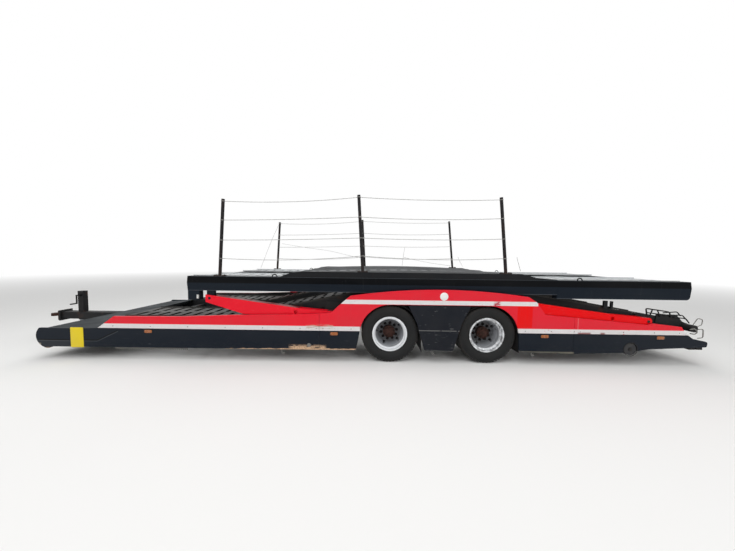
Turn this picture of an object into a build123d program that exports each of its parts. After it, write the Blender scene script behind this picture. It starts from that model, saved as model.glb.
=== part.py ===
from build123d import *
import math
import os

# A two-axle car transporter trailer with a lifting upper deck, in millimetres.
# X runs from the drawbar to the tail, Y across and Z up from the floor, with the
# origin on the floor under the middle of the whole length.
# Side views are drawn from the front axle: x behind it, z above the floor.

# Overall sizes
overall_width = 2550
nose_ahead = 4738
tail_behind = 4231
eye_ahead_of_nose = 1160

# Wheels: 215/75 R17.5 twins, disc to disc on ten studs
tyre_diameter = 767
tyre_width = 215
tyre_inset = 30
tread_half_width = 82
shoulder_drop = 18
axle_spacing = 1310
twin_spacing = 242
rim_flange_radius = 235
bead_radius = 222.25
rim_well_radius = 200
rim_wall = 8
rim_width = 152
flange_thickness = 10
disc_thickness = 14
hub_radius = 84
hub_length = 75
drum_radius = 145
drum_depth = 200
drum_face = 16
spindle_end = 45
hand_hole_radius = 20
hand_hole_circle = 166
hand_hole_count = 5
hand_hole_start = 30
spindle_radius = 35
spindle_clearance = 0.3
axle_radius = 63.5

# Side panels
panel_thickness = 25
panel_inset = 7
seam_gap = 4
front_seam_x = -946
rear_seam_x = 2449
skirt_top_z = 427
panel_gap = 3
panel_corner_radius = 28
arch_clearance = 22.5
marker_length = 100
marker_height = 45
marker_z = 391
marker_places = (-3228, -746, 2061, 3601)

# Lower deck: nose plate, wheel tracks over the hump, tail plate
nose_deck_x, nose_deck_z = -4690, 400
nose_bend_x, nose_bend_z = -3930, 425
front_deck_x, front_deck_z = -3690, 560
climb_x = -2200
hump_front_x, hump_z = -380, 945
hump_rear_x = 1860
rear_deck_x, rear_deck_z = 3950, 600
tail_deck_x, tail_deck_z = 4120, 400
track_width = 670
track_plate = 8
track_rim = 15
slot_pitch = 160
slot_length = 250
slot_width = 60
slot_margin = 70

# Chassis
beam_width = 80
side_rail_width = 40
side_rail_depth = 110
cross_width = 80
cross_depth = 90
cheek_thickness = 25
cheek_gap = 10
hanger_thickness = 30
web_hole_radius = 90
hanger_pivot_x, hanger_pivot_z = -500, 420
hanger_width = 130
hanger_pin_radius = 15
hanger_drop = 50
hanger_wall = 10
beam_foot_z = 540
nose_overhang = 90
riser_least = 5
tank_cross_top_z = 505
seat_gap = 0.3
cut_past = 1

# Drawbar, coupling eye and jack
drawbar_width = 150
drawbar_top_z = 390
drawbar_depth = 120
drawbar_rear_x = -2660
drawbar_flange = 25
drawbar_flange_rim = 30
drawbar_gap = 5
eye_outer_radius = 62
eye_bore_radius = 25
eye_height = 45
eye_neck_length = 190
eye_neck_half = 32
eye_neck_start = 12
eye_plate_half_y, eye_plate_half_z = 95, 80
jack_x = -5400
jack_tube = 90
jack_wall = 8
jack_clearance = 0.3
jack_foot = 220
jack_foot_height = 15
jack_top_z = 760
jack_leg_length = 490
jack_foot_gap = 20
crank_z = 690
crank_reach = 140
crank_radius = 9
crank_hub_radius = 22
crank_shaft = 60
crank_grip = 110

# Lifting arms, their pivots on the chassis and their pins on the upper deck
arm_side_gap = 8
arm_width = 110
arm_pivot_x, arm_pivot_z = -785, 638
arm_tip_x, arm_tip_z = -2420, 842
rear_arm_shift_x, rear_arm_shift_z = 4244, -36
arm_boss_radius = 50
pivot_pin_radius = 25
pivot_head = 3
pivot_inset = 2
tip_pin_radius = 18
deck_lug_thickness = 50
deck_lug_radius = 50
fork_slot = 60
fork_reach = 100
fork_depth = 80
pin_clearance = 0.5

# Lift cylinders: both pins lie at one distance from the arm's pivot
cylinder_reach = 360
cylinder_base_angle = -80
cylinder_rod_angle = 3
cylinder_radius = 35
cylinder_length = 360
cylinder_bore_start = 70
rod_radius = 20
rod_clearance = 0.5
rod_start = 90
eye_width = 60
base_eye_radius = 42
base_pin_radius = 16
rod_pin_radius = 16
rod_eye_clearance = 15.5
rod_eye_wall = 14
base_pin_end = 10
base_collar_wall = 12
base_collar_gap = 2
cylinder_slot = 84

# Upper deck, lowered
deck_front_x = -2716
deck_rear_x = 4002
deck_top_z = 1137
deck_beam_depth = 194
deck_tail_depth = 245
deck_tail_x = 2225
deck_facet_drop = 89
deck_facet_inset = 14
deck_corner_radius = 45
deck_track_drop = 7
deck_cross_depth = 67
deck_cross_width = 80
deck_hump_start_x, deck_hump_end_x = -1490, 2010
deck_hump_rise = 48
deck_hump_crown = 92
hump_ramp = 160
hump_rim = 20
step_thickness = 92
end_bracket_length = 151
end_bracket_depth = 128
step_rise = 77
post_radius = 21.2
post_foot_height = 14
lashing_radius = 32
lashing_bar = 7
lashing_inset = 20
lashing_places = (-1557, 2535)
lug_overlap = 10
beam_gap = 2

# Skid rollers, ramps and tail
roller_x, roller_z = 3214, 230
roller_radius = 80
roller_width = 70
roller_face_inset = 6
roller_opening_gap = 8
roller_pin_radius = 15
roller_head_radius = 24
bracket_plate = 10
bracket_gap = 6
ramp_flange = 70
ramp_plate = 12
ramp_wall = 10
ramp_inner_y = 60
ramp_side_gap = 60
rung_count = 10
bumper_depth = 80
bumper_foot_z, bumper_top_z = 228, 335

os.makedirs("parts", exist_ok=True)

# Places that follow from the sizes above
half_width = overall_width / 2
panel_outer_y = half_width - panel_inset
panel_inner_y = panel_outer_y - panel_thickness
arm_outer_y = panel_inner_y - arm_side_gap
arm_inner_y = arm_outer_y - arm_width
arm_middle_y = (arm_inner_y + arm_outer_y) / 2
cheek_outer_y = arm_inner_y - cheek_gap
track_outer_y = cheek_outer_y - cheek_thickness
track_inner_y = track_outer_y - track_width
beam_outer_y = track_inner_y + beam_width
rail_inner_y = track_outer_y - side_rail_width
wheel_z = tyre_diameter / 2
twin_centre_y = half_width - tyre_inset - tyre_width / 2 - twin_spacing / 2
front_axle_x = (nose_ahead + eye_ahead_of_nose + eye_outer_radius - tail_behind) / 2
arch_radius = tyre_diameter / 2 + arch_clearance
arch_top_z = wheel_z + arch_radius
eye_x = -nose_ahead - eye_ahead_of_nose
drawbar_foot_z = drawbar_top_z - drawbar_depth
eye_z = drawbar_top_z - drawbar_depth / 2
deck_beam_foot_z = deck_top_z - deck_beam_depth
deck_track_z = deck_top_z - deck_track_drop
deck_cross_top_z = deck_track_z - track_plate
step_top_z = deck_top_z + step_rise

lower_deck_line = [
    (nose_deck_x, nose_deck_z),
    (nose_bend_x, nose_bend_z),
    (front_deck_x, front_deck_z),
    (climb_x, front_deck_z),
    (hump_front_x, hump_z),
    (hump_rear_x, hump_z),
    (rear_deck_x, rear_deck_z),
    (tail_deck_x, tail_deck_z),
]


# The height of the lower deck's surface at x.
def deck_z(x):
    for (x0, z0), (x1, z1) in zip(lower_deck_line, lower_deck_line[1:]):
        if x0 <= x <= x1:
            return z0 + (z1 - z0) * (x - x0) / (x1 - x0)
    return lower_deck_line[-1][1]


# An upright plane seen from the left side, its origin under the front axle.
def side_plane(y):
    return Plane(origin=(front_axle_x, y, 0), x_dir=(1, 0, 0), z_dir=(0, -1, 0))


# A plate of a side-view outline, from y_near outward to y_far on the left side,
# with the corners at the points in rounded filleted.
def side_plate(points, y_near, y_far, mode=Mode.ADD, rounded=()):
    with BuildSketch(side_plane(-y_near)) as outline:
        with BuildLine():
            Polyline(*points, close=True)
        make_face()
        corners = [
            vertex
            for vertex in outline.vertices()
            if any(math.dist((vertex.X, vertex.Y), point) < 0.01 for point in rounded)
        ]
        if corners:
            fillet(corners, panel_corner_radius)
    extrude(outline.sketch, amount=y_far - y_near, mode=mode)


# A round bar across the left side, centred on (x, z) in the side view.
def cross_bar(x, z, radius, y_near, y_far, mode=Mode.ADD):
    with BuildSketch(side_plane(-y_near)) as section:
        with Locations((x, z)):
            Circle(radius)
    extrude(section.sketch, amount=y_far - y_near, mode=mode)


# A box given by its limits, x from the front axle.
def block(x_limits, y_limits, z_limits, mode=Mode.ADD):
    (x0, x1), (y0, y1), (z0, z1) = x_limits, y_limits, z_limits
    with Locations((front_axle_x + (x0 + x1) / 2, (y0 + y1) / 2, (z0 + z1) / 2)):
        Box(x1 - x0, y1 - y0, z1 - z0, mode=mode)


# The outline of a strip along a side-view line, from below it to above it.
def band(line, above, below):
    return [(x, z + above) for x, z in line] + [(x, z - below) for x, z in reversed(line)]


def finish(piece, name):
    piece.part.label = name
    export_step(piece.part, "parts/" + name + ".step")


# Two rows of slots cut down through the left track between x0 and x1.
def track_slots(x0, x1):
    count = int((x1 - x0 - 2 * slot_margin) / slot_pitch) + 1
    spacing = track_width / 2 - 2 * track_plate
    middle = (front_axle_x + (x0 + x1) / 2, -(track_inner_y + track_outer_y) / 2)
    with BuildSketch(Plane.XY) as slots:
        with Locations(middle):
            with GridLocations(slot_pitch, spacing, count, 2):
                Rectangle(slot_width, slot_length)
    extrude(slots.sketch, amount=2 * deck_top_z, mode=Mode.SUBTRACT)


# Slotted wheel track of one side: a plate with an upright rim on each edge.
def track(line):
    side_plate(band(line, 0, track_plate), track_inner_y, track_outer_y)
    track_slots(line[0][0], line[-1][0])
    for y in (track_inner_y, track_outer_y - track_plate):
        side_plate(band(line, track_rim, 0), y, y + track_plate)


# A point seen from an arm pivot: its angle is measured up from the forward side.
def from_pivot(reach, angle, shift_x, shift_z):
    turn = math.radians(angle)
    return (
        arm_pivot_x + shift_x - reach * math.cos(turn),
        arm_pivot_z + shift_z + reach * math.sin(turn),
    )


# Chassis: two deep main beams under the tracks and an outer rail at each side,
# notched where the cross-members pass through them.
frame_front_x = nose_deck_x + nose_overhang
beam_foot_line = [
    (tail_deck_x, 250),
    (3300, 340),
    (2400, 420),
    (1760, beam_foot_z),
    (-900, beam_foot_z),
    (-1500, 440),
    (-3700, 400),
    (-3900, 330),
    (frame_front_x, 215),
]
# x, top z, bottom z of the panel hanger under its end (0 where it has none)
cross_places = [
    (-4350, drawbar_foot_z, 0),
    (-3500, drawbar_top_z + cross_depth, 230),
    (-2700, drawbar_top_z + cross_depth, 230),
    (-1900, tank_cross_top_z, 230),
    (-1450, tank_cross_top_z, 230),
    (-620, 600, 230),
    (axle_spacing / 2, 880, 300),
    (1960, 580, 230),
    (2450, 500, 230),
    (3000, 430, 230),
    (3640, 360, 260),
    (4060, 318, 0),
]
# x, z of the lightening holes in the main beams
web_holes = [
    (0, 745),
    (axle_spacing / 3, 745),
    (axle_spacing * 2 / 3, 745),
    (axle_spacing, 745),
    (2240, 700),
    (2730, 620),
    (3330, 520),
]
# Outlines of the bearing cheeks, from their own arm's pivot
front_cheek = [
    (-95, 162),
    (85, 162),
    (205, -38),
    (205, -128),
    (5, -413),
    (-115, -413),
    (-125, -38),
]
rear_cheek = [
    (-59, 78),
    (61, 78),
    (201, -202),
    (201, -302),
    (21, -412),
    (-119, -412),
    (-109, -42),
]
arm_sets = [
    ("front", 0, 0, front_cheek),
    ("rear", rear_arm_shift_x, rear_arm_shift_z, rear_cheek),
]
deck_under = [(x, z - track_plate) for x, z in lower_deck_line]
deck_under[0] = (frame_front_x, deck_z(frame_front_x) - track_plate)


# The left half of every cross-member, added or cut away.
def cross_bars(mode=Mode.ADD):
    for x, top, hanger_foot in cross_places:
        edges = (x - cross_width / 2, x + cross_width / 2)
        block(edges, (-panel_inner_y, 0), (top - cross_depth, top), mode)


with BuildPart() as chassis_beams:
    side_plate(deck_under + beam_foot_line, track_inner_y, beam_outer_y)
    for x, z in web_holes:
        cross_bar(x, z, web_hole_radius, track_inner_y, beam_outer_y, Mode.SUBTRACT)
    side_plate(band(deck_under, 0, side_rail_depth), rail_inner_y, track_outer_y)
    cross_bars(Mode.SUBTRACT)
    for axle_x in (0, axle_spacing):
        x = axle_x + hanger_pivot_x
        block(
            (x - hanger_width / 2, x + hanger_width / 2),
            (-beam_outer_y, -track_inner_y),
            (hanger_pivot_z - hanger_drop, beam_foot_z + hanger_wall),
        )
        block(
            (x - hanger_width / 2 + hanger_wall, x + hanger_width / 2 + cut_past),
            (-beam_outer_y + hanger_wall, -track_inner_y - hanger_wall),
            (hanger_pivot_z - hanger_drop - cut_past, hanger_pivot_z + hanger_drop),
            Mode.SUBTRACT,
        )
        cross_bar(
            x, hanger_pivot_z, hanger_pin_radius, track_inner_y, beam_outer_y, Mode.SUBTRACT
        )
    mirror(about=Plane.XZ)
finish(chassis_beams, "chassis_beams")

with BuildPart() as cross_members:
    cross_bars()
    mirror(about=Plane.XZ)
finish(cross_members, "cross_members")

# Under the ends of the cross-members hang the plates that carry the side panels,
# and on them stand the risers that carry the outer rails.
with BuildPart() as frame_brackets:
    for x, top, hanger_foot in cross_places:
        x0, x1 = x - cross_width / 2, x + cross_width / 2
        rail_foot = [deck_z(edge) - track_plate - side_rail_depth - seat_gap for edge in (x0, x1)]
        if min(rail_foot) > top + riser_least:
            side_plate(
                [(x0, top), (x1, top), (x1, rail_foot[1]), (x0, rail_foot[0])],
                rail_inner_y,
                track_outer_y,
            )
        if hanger_foot:
            block(
                (x0, x1),
                (-panel_inner_y, -panel_inner_y + hanger_thickness),
                (hanger_foot, top - cross_depth),
            )
    mirror(about=Plane.XZ)
finish(frame_brackets, "frame_brackets")

# Bearing cheeks of the lifting arms on the outer rails, with the base pins of
# the lift cylinders through them.
with BuildPart() as arm_bearings:
    for name, shift_x, shift_z, cheek in arm_sets:
        pivot = (arm_pivot_x + shift_x, arm_pivot_z + shift_z)
        base = from_pivot(cylinder_reach, cylinder_base_angle, shift_x, shift_z)
        side_plate(
            [(pivot[0] + x, pivot[1] + z) for x, z in cheek], track_outer_y, cheek_outer_y
        )
        for place, radius in ((pivot, pivot_pin_radius), (base, base_pin_radius)):
            cross_bar(
                *place, radius + pin_clearance, track_outer_y, cheek_outer_y, Mode.SUBTRACT
            )
    cross_bars(Mode.SUBTRACT)
    for name, shift_x, shift_z, cheek in arm_sets:
        base = from_pivot(cylinder_reach, cylinder_base_angle, shift_x, shift_z)
        pin_end_y = arm_middle_y + eye_width / 2 + base_pin_end
        cross_bar(*base, base_pin_radius, track_outer_y + cut_past, pin_end_y)
        cross_bar(
            *base,
            base_pin_radius + base_collar_wall,
            cheek_outer_y + seat_gap,
            arm_middle_y - cylinder_radius - base_collar_gap,
        )
    mirror(about=Plane.XZ)
finish(arm_bearings, "arm_bearings")

# The nose beam has a cut-out for the drawbar; the bumper closes the tail.
nose_step = nose_overhang + 10
nose_foot_z = 180
nose_section = [
    (frame_front_x - nose_step, nose_foot_z + 35),
    (frame_front_x - nose_step + 30, nose_foot_z),
    (frame_front_x, nose_foot_z),
    (frame_front_x, nose_deck_z - track_plate),
    (nose_deck_x, nose_deck_z - track_plate),
    (frame_front_x - nose_step, nose_deck_z - 30),
]
with BuildPart() as end_beams:
    side_plate(nose_section, 0, panel_inner_y)
    block(
        (frame_front_x - nose_step - cut_past, frame_front_x + cut_past),
        (-drawbar_width / 2 - drawbar_gap, 0),
        (drawbar_foot_z - drawbar_gap, nose_deck_z),
        Mode.SUBTRACT,
    )
    block(
        (tail_deck_x, tail_deck_x + bumper_depth),
        (-panel_inner_y, 0),
        (bumper_foot_z, bumper_top_z),
    )
    mirror(about=Plane.XZ)
finish(end_beams, "end_beams")

roller_cross_x, roller_cross_z, _ = cross_places[9]
bracket_x = roller_cross_x + cross_width / 2
roller_bracket = [
    (roller_x - 45, roller_z - 30),
    (roller_x - 45, roller_z + 25),
    (bracket_x, roller_cross_z - cross_depth + 20),
    (bracket_x, roller_cross_z),
    (roller_x - 60, roller_z + 150),
    (roller_x + 30, roller_z + 45),
    (roller_x + 30, roller_z - 30),
]
roller_face_y = panel_outer_y - roller_face_inset
roller_y = roller_face_y - roller_width / 2
# y of the inner face of each of the two plates that hold the pin
bracket_far_y = roller_y - roller_width / 2 - bracket_gap - bracket_plate
bracket_near_y = bracket_far_y - bracket_plate - 2 * bracket_gap
with BuildPart() as roller_brackets:
    for y in (bracket_near_y, bracket_far_y):
        side_plate(roller_bracket, y, y + bracket_plate)
    cross_bar(roller_x, roller_z, roller_pin_radius, bracket_near_y, panel_outer_y)
    cross_bar(
        roller_x, roller_z, roller_head_radius, roller_face_y + pin_clearance, panel_outer_y
    )
    mirror(about=Plane.XZ)
finish(roller_brackets, "roller_brackets")

# Drawbar: a box beam clamped between the cross-members, with a flanged eye.
drawbar_front_x = eye_x + eye_neck_length
with BuildPart() as drawbar:
    block(
        (drawbar_front_x, drawbar_rear_x),
        (-drawbar_width / 2, drawbar_width / 2),
        (drawbar_foot_z, drawbar_top_z),
    )
    block(
        (drawbar_front_x - drawbar_flange, drawbar_front_x),
        (-drawbar_width / 2 - drawbar_flange_rim, drawbar_width / 2 + drawbar_flange_rim),
        (drawbar_foot_z - drawbar_flange_rim, drawbar_top_z + drawbar_flange_rim),
    )
    block(
        (jack_x - jack_tube / 2, jack_x + jack_tube / 2),
        (-jack_tube / 2, jack_tube / 2),
        (drawbar_foot_z, drawbar_top_z),
        Mode.SUBTRACT,
    )
finish(drawbar, "drawbar")

with BuildPart() as coupling_eye:
    flange_x = drawbar_front_x - drawbar_flange
    with Locations((front_axle_x + eye_x, 0, eye_z)):
        Cylinder(eye_outer_radius, eye_height)
    block(
        (eye_x + eye_bore_radius + eye_neck_start, flange_x - drawbar_flange),
        (-eye_neck_half, eye_neck_half),
        (eye_z - eye_height / 2 + 2, eye_z + eye_height / 2 - 2),
    )
    block(
        (flange_x - drawbar_flange, flange_x),
        (-eye_plate_half_y, eye_plate_half_y),
        (eye_z - eye_plate_half_z, eye_z + eye_plate_half_z),
    )
    with Locations((front_axle_x + eye_x, 0, eye_z)):
        Cylinder(eye_bore_radius, 2 * eye_height, mode=Mode.SUBTRACT)
finish(coupling_eye, "coupling_eye")

with BuildPart() as jack_housing:
    half_tube = jack_tube / 2
    half_bore = half_tube - jack_wall
    foot_z = drawbar_foot_z - jack_foot_gap
    block((jack_x - half_tube, jack_x + half_tube), (-half_tube, half_tube), (foot_z, jack_top_z))
    block(
        (jack_x - half_bore, jack_x + half_bore),
        (-half_bore, half_bore),
        (foot_z, jack_top_z - jack_wall),
        Mode.SUBTRACT,
    )
    shaft_end = half_tube + crank_shaft
    cross_bar(jack_x, crank_z, crank_hub_radius, half_tube, half_tube + crank_shaft / 3)
    cross_bar(jack_x, crank_z, crank_radius, half_tube, shaft_end)
    block(
        (jack_x - crank_hub_radius / 2, jack_x + crank_hub_radius / 2),
        (-shaft_end - crank_radius, -shaft_end),
        (crank_z - crank_reach, crank_z + crank_radius),
    )
    cross_bar(jack_x, crank_z - crank_reach, crank_radius + 2, shaft_end, shaft_end + crank_grip)
finish(jack_housing, "jack_housing")

with BuildPart() as jack_leg:
    half_leg = half_bore - jack_clearance
    block(
        (jack_x - half_leg, jack_x + half_leg),
        (-half_leg, half_leg),
        (jack_foot_height, jack_leg_length),
    )
    block(
        (jack_x - jack_foot / 2, jack_x + jack_foot / 2),
        (-jack_foot / 2, jack_foot / 2),
        (0, jack_foot_height),
    )
finish(jack_leg, "jack_leg")

# Lower deck: a plain plate across the nose and tail, slotted tracks between.
with BuildPart() as nose_plate:
    line = lower_deck_line[:2] + [(front_deck_x - seam_gap, deck_z(front_deck_x - seam_gap))]
    side_plate(band(line, 0, track_plate), 0, arm_outer_y)
    mirror(about=Plane.XZ)
finish(nose_plate, "nose_plate")

with BuildPart() as lower_tracks:
    for line in zip(lower_deck_line[2:6], lower_deck_line[3:7]):
        x0 = line[0][0] + seam_gap
        track([(x0, deck_z(x0)), line[1]])
    mirror(about=Plane.XZ)
finish(lower_tracks, "lower_tracks")

with BuildPart() as tail_plate:
    x0 = rear_deck_x + seam_gap
    line = [
        (x0, deck_z(x0)),
        (tail_deck_x, tail_deck_z),
        (tail_deck_x + bumper_depth, bumper_top_z + track_plate),
    ]
    side_plate(band(line, 0, track_plate), 0, track_outer_y)
    mirror(about=Plane.XZ)
finish(tail_plate, "tail_plate")

# Side panels: red above the skirt line, black skirts below it.
front_end_x = front_seam_x - seam_gap / 2
arch_front_x = front_seam_x + seam_gap / 2
arch_rear_x = rear_seam_x - seam_gap / 2
rear_end_x = rear_seam_x + seam_gap / 2
panel_foot_z = skirt_top_z + panel_gap
front_panel = [
    (-3905, panel_foot_z),
    (-3685, 589),
    (-2793, 597),
    (-2081, 627),
    (-1198, 646),
    (front_end_x, 660),
    (front_end_x, panel_foot_z),
]
rear_panel = [
    (rear_end_x, panel_foot_z),
    (rear_end_x, 646),
    (3425, 562),
    (3498, 582),
    (3873, 540),
    (3915, 479),
    (3976, panel_foot_z),
]
with BuildPart() as side_panels:
    for outline in (front_panel, rear_panel):
        side_plate(outline, panel_inner_y, panel_outer_y)
    mirror(about=Plane.XZ)
finish(side_panels, "side_panels")

# The arch panel rises over both wheels in one long arc.
hump_arc = [(-532, 902), (648, 996), (1830, 914)]
with BuildPart() as wheel_arch_panels:
    with BuildSketch(side_plane(-panel_inner_y)) as outline:
        with BuildLine():
            Polyline(
                (arch_front_x, panel_foot_z),
                (arch_front_x, 660),
                (-783, 675),
                (-722, 737),
                (-642, 809),
                hump_arc[0],
            )
            ThreePointArc(*hump_arc)
            Polyline(
                hump_arc[2],
                (1939, 844),
                (2060, 680),
                (arch_rear_x, 646),
                (arch_rear_x, panel_foot_z),
                (arch_front_x, panel_foot_z),
            )
        make_face()
    extrude(outline.sketch, amount=panel_thickness)
    for axle_x in (0, axle_spacing):
        cross_bar(axle_x, wheel_z, arch_radius, panel_inner_y, panel_outer_y, Mode.SUBTRACT)
    block(
        (0, axle_spacing),
        (-panel_outer_y, -panel_inner_y),
        (skirt_top_z, arch_top_z),
        Mode.SUBTRACT,
    )
    mirror(about=Plane.XZ)
finish(wheel_arch_panels, "wheel_arch_panels")

arch_skirt = [
    (arch_front_x, 172),
    (arch_front_x, skirt_top_z),
    (-404, skirt_top_z),
    (-451, 176),
]
mid_rear_skirt = [
    (1733, 180),
    (1714, skirt_top_z),
    (arch_rear_x, skirt_top_z),
    (arch_rear_x, 161),
]
tail_skirt = [
    (rear_end_x, 161),
    (rear_end_x, skirt_top_z),
    (3971, skirt_top_z),
    (4034, 382),
    (tail_behind, 342),
    (tail_behind, 271),
    (3450, 232),
    (3118, 180),
]
nose_top_z = 420
nose_corner = 46
with BuildPart() as front_skirts:
    with BuildSketch(side_plane(-panel_inner_y)) as outline:
        with BuildLine():
            Polyline(
                (-nose_ahead + nose_corner, nose_top_z),
                (-4100, nose_top_z),
                (-3930, skirt_top_z),
                (front_end_x, skirt_top_z),
                (front_end_x, 172),
                (-4522, 169),
            )
            ThreePointArc((-4522, 169), (-4585, 148), (-4650, 168))
            ThreePointArc((-4650, 168), (-nose_ahead, 296), (-nose_ahead + nose_corner, nose_top_z))
        make_face()
    extrude(outline.sketch, amount=panel_thickness)
    side_plate(arch_skirt, panel_inner_y, panel_outer_y, rounded=arch_skirt[-1:])
    mirror(about=Plane.XZ)
finish(front_skirts, "front_skirts")

with BuildPart() as rear_skirts:
    side_plate(mid_rear_skirt, panel_inner_y, panel_outer_y, rounded=mid_rear_skirt[:1])
    side_plate(tail_skirt, panel_inner_y, panel_outer_y, rounded=tail_skirt[4:6])
    opening_radius = roller_radius + roller_opening_gap
    cross_bar(roller_x, roller_z, opening_radius, panel_inner_y, panel_outer_y, Mode.SUBTRACT)
    mirror(about=Plane.XZ)
finish(rear_skirts, "rear_skirts")

# half-width from the middle between the wheels, z
spat_edge = [(415, 780), (300, 550), (190, 172)]
with BuildPart() as wheel_spats:
    spat_middle_x = axle_spacing / 2
    behind = [(spat_middle_x + half, z) for half, z in spat_edge]
    ahead = [(spat_middle_x - half, z) for half, z in reversed(spat_edge)]
    side_plate(behind + ahead, panel_inner_y, panel_outer_y, rounded=(behind[-1], ahead[0]))
    mirror(about=Plane.XZ)
finish(wheel_spats, "wheel_spats")

# Mudguards: a half shell over each pair of twins, hung from the outer rail.
guard_clearance = 28
guard_thickness = 6
guard_radius = tyre_diameter / 2 + guard_clearance
guard_inner_y = twin_centre_y - twin_spacing / 2 - tyre_width / 2 - 4
guard_foot_z = 520
with BuildPart() as mudguards:
    for axle_x in (0, axle_spacing):
        cross_bar(axle_x, wheel_z, guard_radius + guard_thickness, guard_inner_y, panel_inner_y)
    for axle_x in (0, axle_spacing):
        cross_bar(axle_x, wheel_z, guard_radius, guard_inner_y, panel_inner_y, Mode.SUBTRACT)
    block(
        (-2 * guard_radius, axle_spacing + 2 * guard_radius),
        (-panel_inner_y, -guard_inner_y),
        (wheel_z - 2 * guard_radius, guard_foot_z),
        Mode.SUBTRACT,
    )
    for axle_x in (0, axle_spacing):
        block(
            (axle_x - 20, axle_x + 20),
            (-track_outer_y, -track_outer_y + side_rail_width),
            (wheel_z + guard_radius + 1, hump_z - track_plate - side_rail_depth),
        )
    mirror(about=Plane.XZ)
finish(mudguards, "mudguards")

# Axles, their trailing arms and air springs.
brake_depth = 205
brake_plate = 14
brake_back_y = twin_centre_y - brake_depth
with BuildPart() as axles:
    for axle_x in (0, axle_spacing):
        cross_bar(axle_x, wheel_z, axle_radius, 0, brake_back_y)
        cross_bar(axle_x, wheel_z, drum_radius + 8, brake_back_y - brake_plate, brake_back_y)
        cross_bar(axle_x, wheel_z, spindle_radius, 0, twin_centre_y + spindle_end)
    mirror(about=Plane.XZ)
finish(axles, "axles")

spring_seat_x, spring_seat_z = 300, 365
spring_radius = 115
spring_waist = 96
# x from the axle, z from the axle's height
arm_plate = [
    (hanger_pivot_x - 40, -2),
    (hanger_pivot_x - 40, 66),
    (-60, 95),
    (60, 95),
    (150, spring_seat_z - wheel_z),
    (spring_seat_x + 110, spring_seat_z - wheel_z),
    (spring_seat_x + 110, spring_seat_z - wheel_z - 40),
    (100, -95),
    (-90, -95),
]
with BuildPart() as trailing_arms:
    for axle_x in (0, axle_spacing):
        outline = [(axle_x + x, wheel_z + z) for x, z in arm_plate]
        side_plate(outline, track_inner_y + 14, beam_outer_y - 14)
        cross_bar(
            axle_x, wheel_z, axle_radius + 0.3, track_inner_y, beam_outer_y, Mode.SUBTRACT
        )
        cross_bar(
            axle_x + hanger_pivot_x,
            hanger_pivot_z,
            hanger_pin_radius - 0.2,
            track_inner_y,
            beam_outer_y,
        )
    mirror(about=Plane.XZ)
finish(trailing_arms, "trailing_arms")

with BuildPart() as air_springs:
    spring_height = beam_foot_z - spring_seat_z
    for axle_x in (0, axle_spacing):
        foot = (front_axle_x + axle_x + spring_seat_x, -(track_inner_y + beam_outer_y) / 2)
        with BuildSketch(Plane(origin=(*foot, spring_seat_z), x_dir=(1, 0, 0), z_dir=(0, -1, 0))) as bag:
            with BuildLine():
                Polyline(
                    (0, 0),
                    (spring_waist, 0),
                    (spring_radius, spring_height * 0.2),
                    (spring_radius, spring_height * 0.42),
                    (spring_waist, spring_height * 0.5),
                    (spring_radius, spring_height * 0.58),
                    (spring_radius, spring_height * 0.86),
                    (spring_waist, spring_height),
                    (0, spring_height),
                    close=True,
                )
            make_face()
        revolve(bag.sketch, axis=Axis((*foot, 0), (0, 0, 1)))
    mirror(about=Plane.XZ)
finish(air_springs, "air_springs")

tank_radius = 110
tank_y = 260
tank_front_x, tank_rear_x = -2020, -1330
tank_hang_z = tank_cross_top_z - cross_depth
tank_gap = 10
strap_half_x, strap_half_y, strap_depth = 20, 60, 60
strap_places = (cross_places[3][0], cross_places[4][0])
with BuildPart() as air_tanks:
    with BuildSketch(Plane.YZ.offset(front_axle_x + tank_front_x)):
        with Locations((-tank_y, tank_hang_z - tank_radius - tank_gap)):
            Circle(tank_radius)
    extrude(amount=tank_rear_x - tank_front_x)
    for x in strap_places:
        block(
            (x - strap_half_x, x + strap_half_x),
            (-tank_y - strap_half_y, -tank_y + strap_half_y),
            (tank_hang_z - strap_depth, tank_hang_z),
        )
    mirror(about=Plane.XZ)
finish(air_tanks, "air_tanks")

# The hydraulic unit's tank, with its pump in front, hangs from two rails.
unit_front_x, unit_rear_x = -1850, -1500
unit_half_width, unit_height = 125, 190
unit_rail_width, unit_rail_depth, unit_rail_y = 30, 15, 70
pump_radius, pump_length = 55, 120
with BuildPart() as hydraulic_unit:
    block(
        (unit_front_x, unit_rear_x),
        (-unit_half_width, unit_half_width),
        (tank_hang_z - tank_gap - unit_height, tank_hang_z - tank_gap),
    )
    rail_front_x, rail_rear_x = (x + way * cross_width / 2 for x, way in zip(strap_places, (-1, 1)))
    for y in (-unit_rail_y - unit_rail_width, unit_rail_y):
        block(
            (rail_front_x, rail_rear_x),
            (y, y + unit_rail_width),
            (tank_hang_z - unit_rail_depth, tank_hang_z),
        )
    with BuildSketch(Plane.YZ.offset(front_axle_x + unit_front_x)):
        with Locations((0, tank_hang_z - tank_gap - unit_height / 2)):
            Circle(pump_radius)
    extrude(amount=-pump_length)
finish(hydraulic_unit, "hydraulic_unit")


# A plane that holds the axle: x along it, away from the middle of the twins.
def wheel_plane(axle_x, side):
    return Plane(
        origin=(front_axle_x + axle_x, side * twin_centre_y, wheel_z),
        x_dir=(0, side, 0),
        z_dir=(side, 0, 0),
    )


# A solid turned about the axle from (distance out, radius) points.
def turned(plane, points, mode=Mode.ADD):
    with BuildSketch(plane) as profile:
        with BuildLine():
            Polyline(*points, close=True)
        make_face()
    revolve(profile.sketch, axis=Axis(plane.origin, plane.x_dir), mode=mode)


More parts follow.
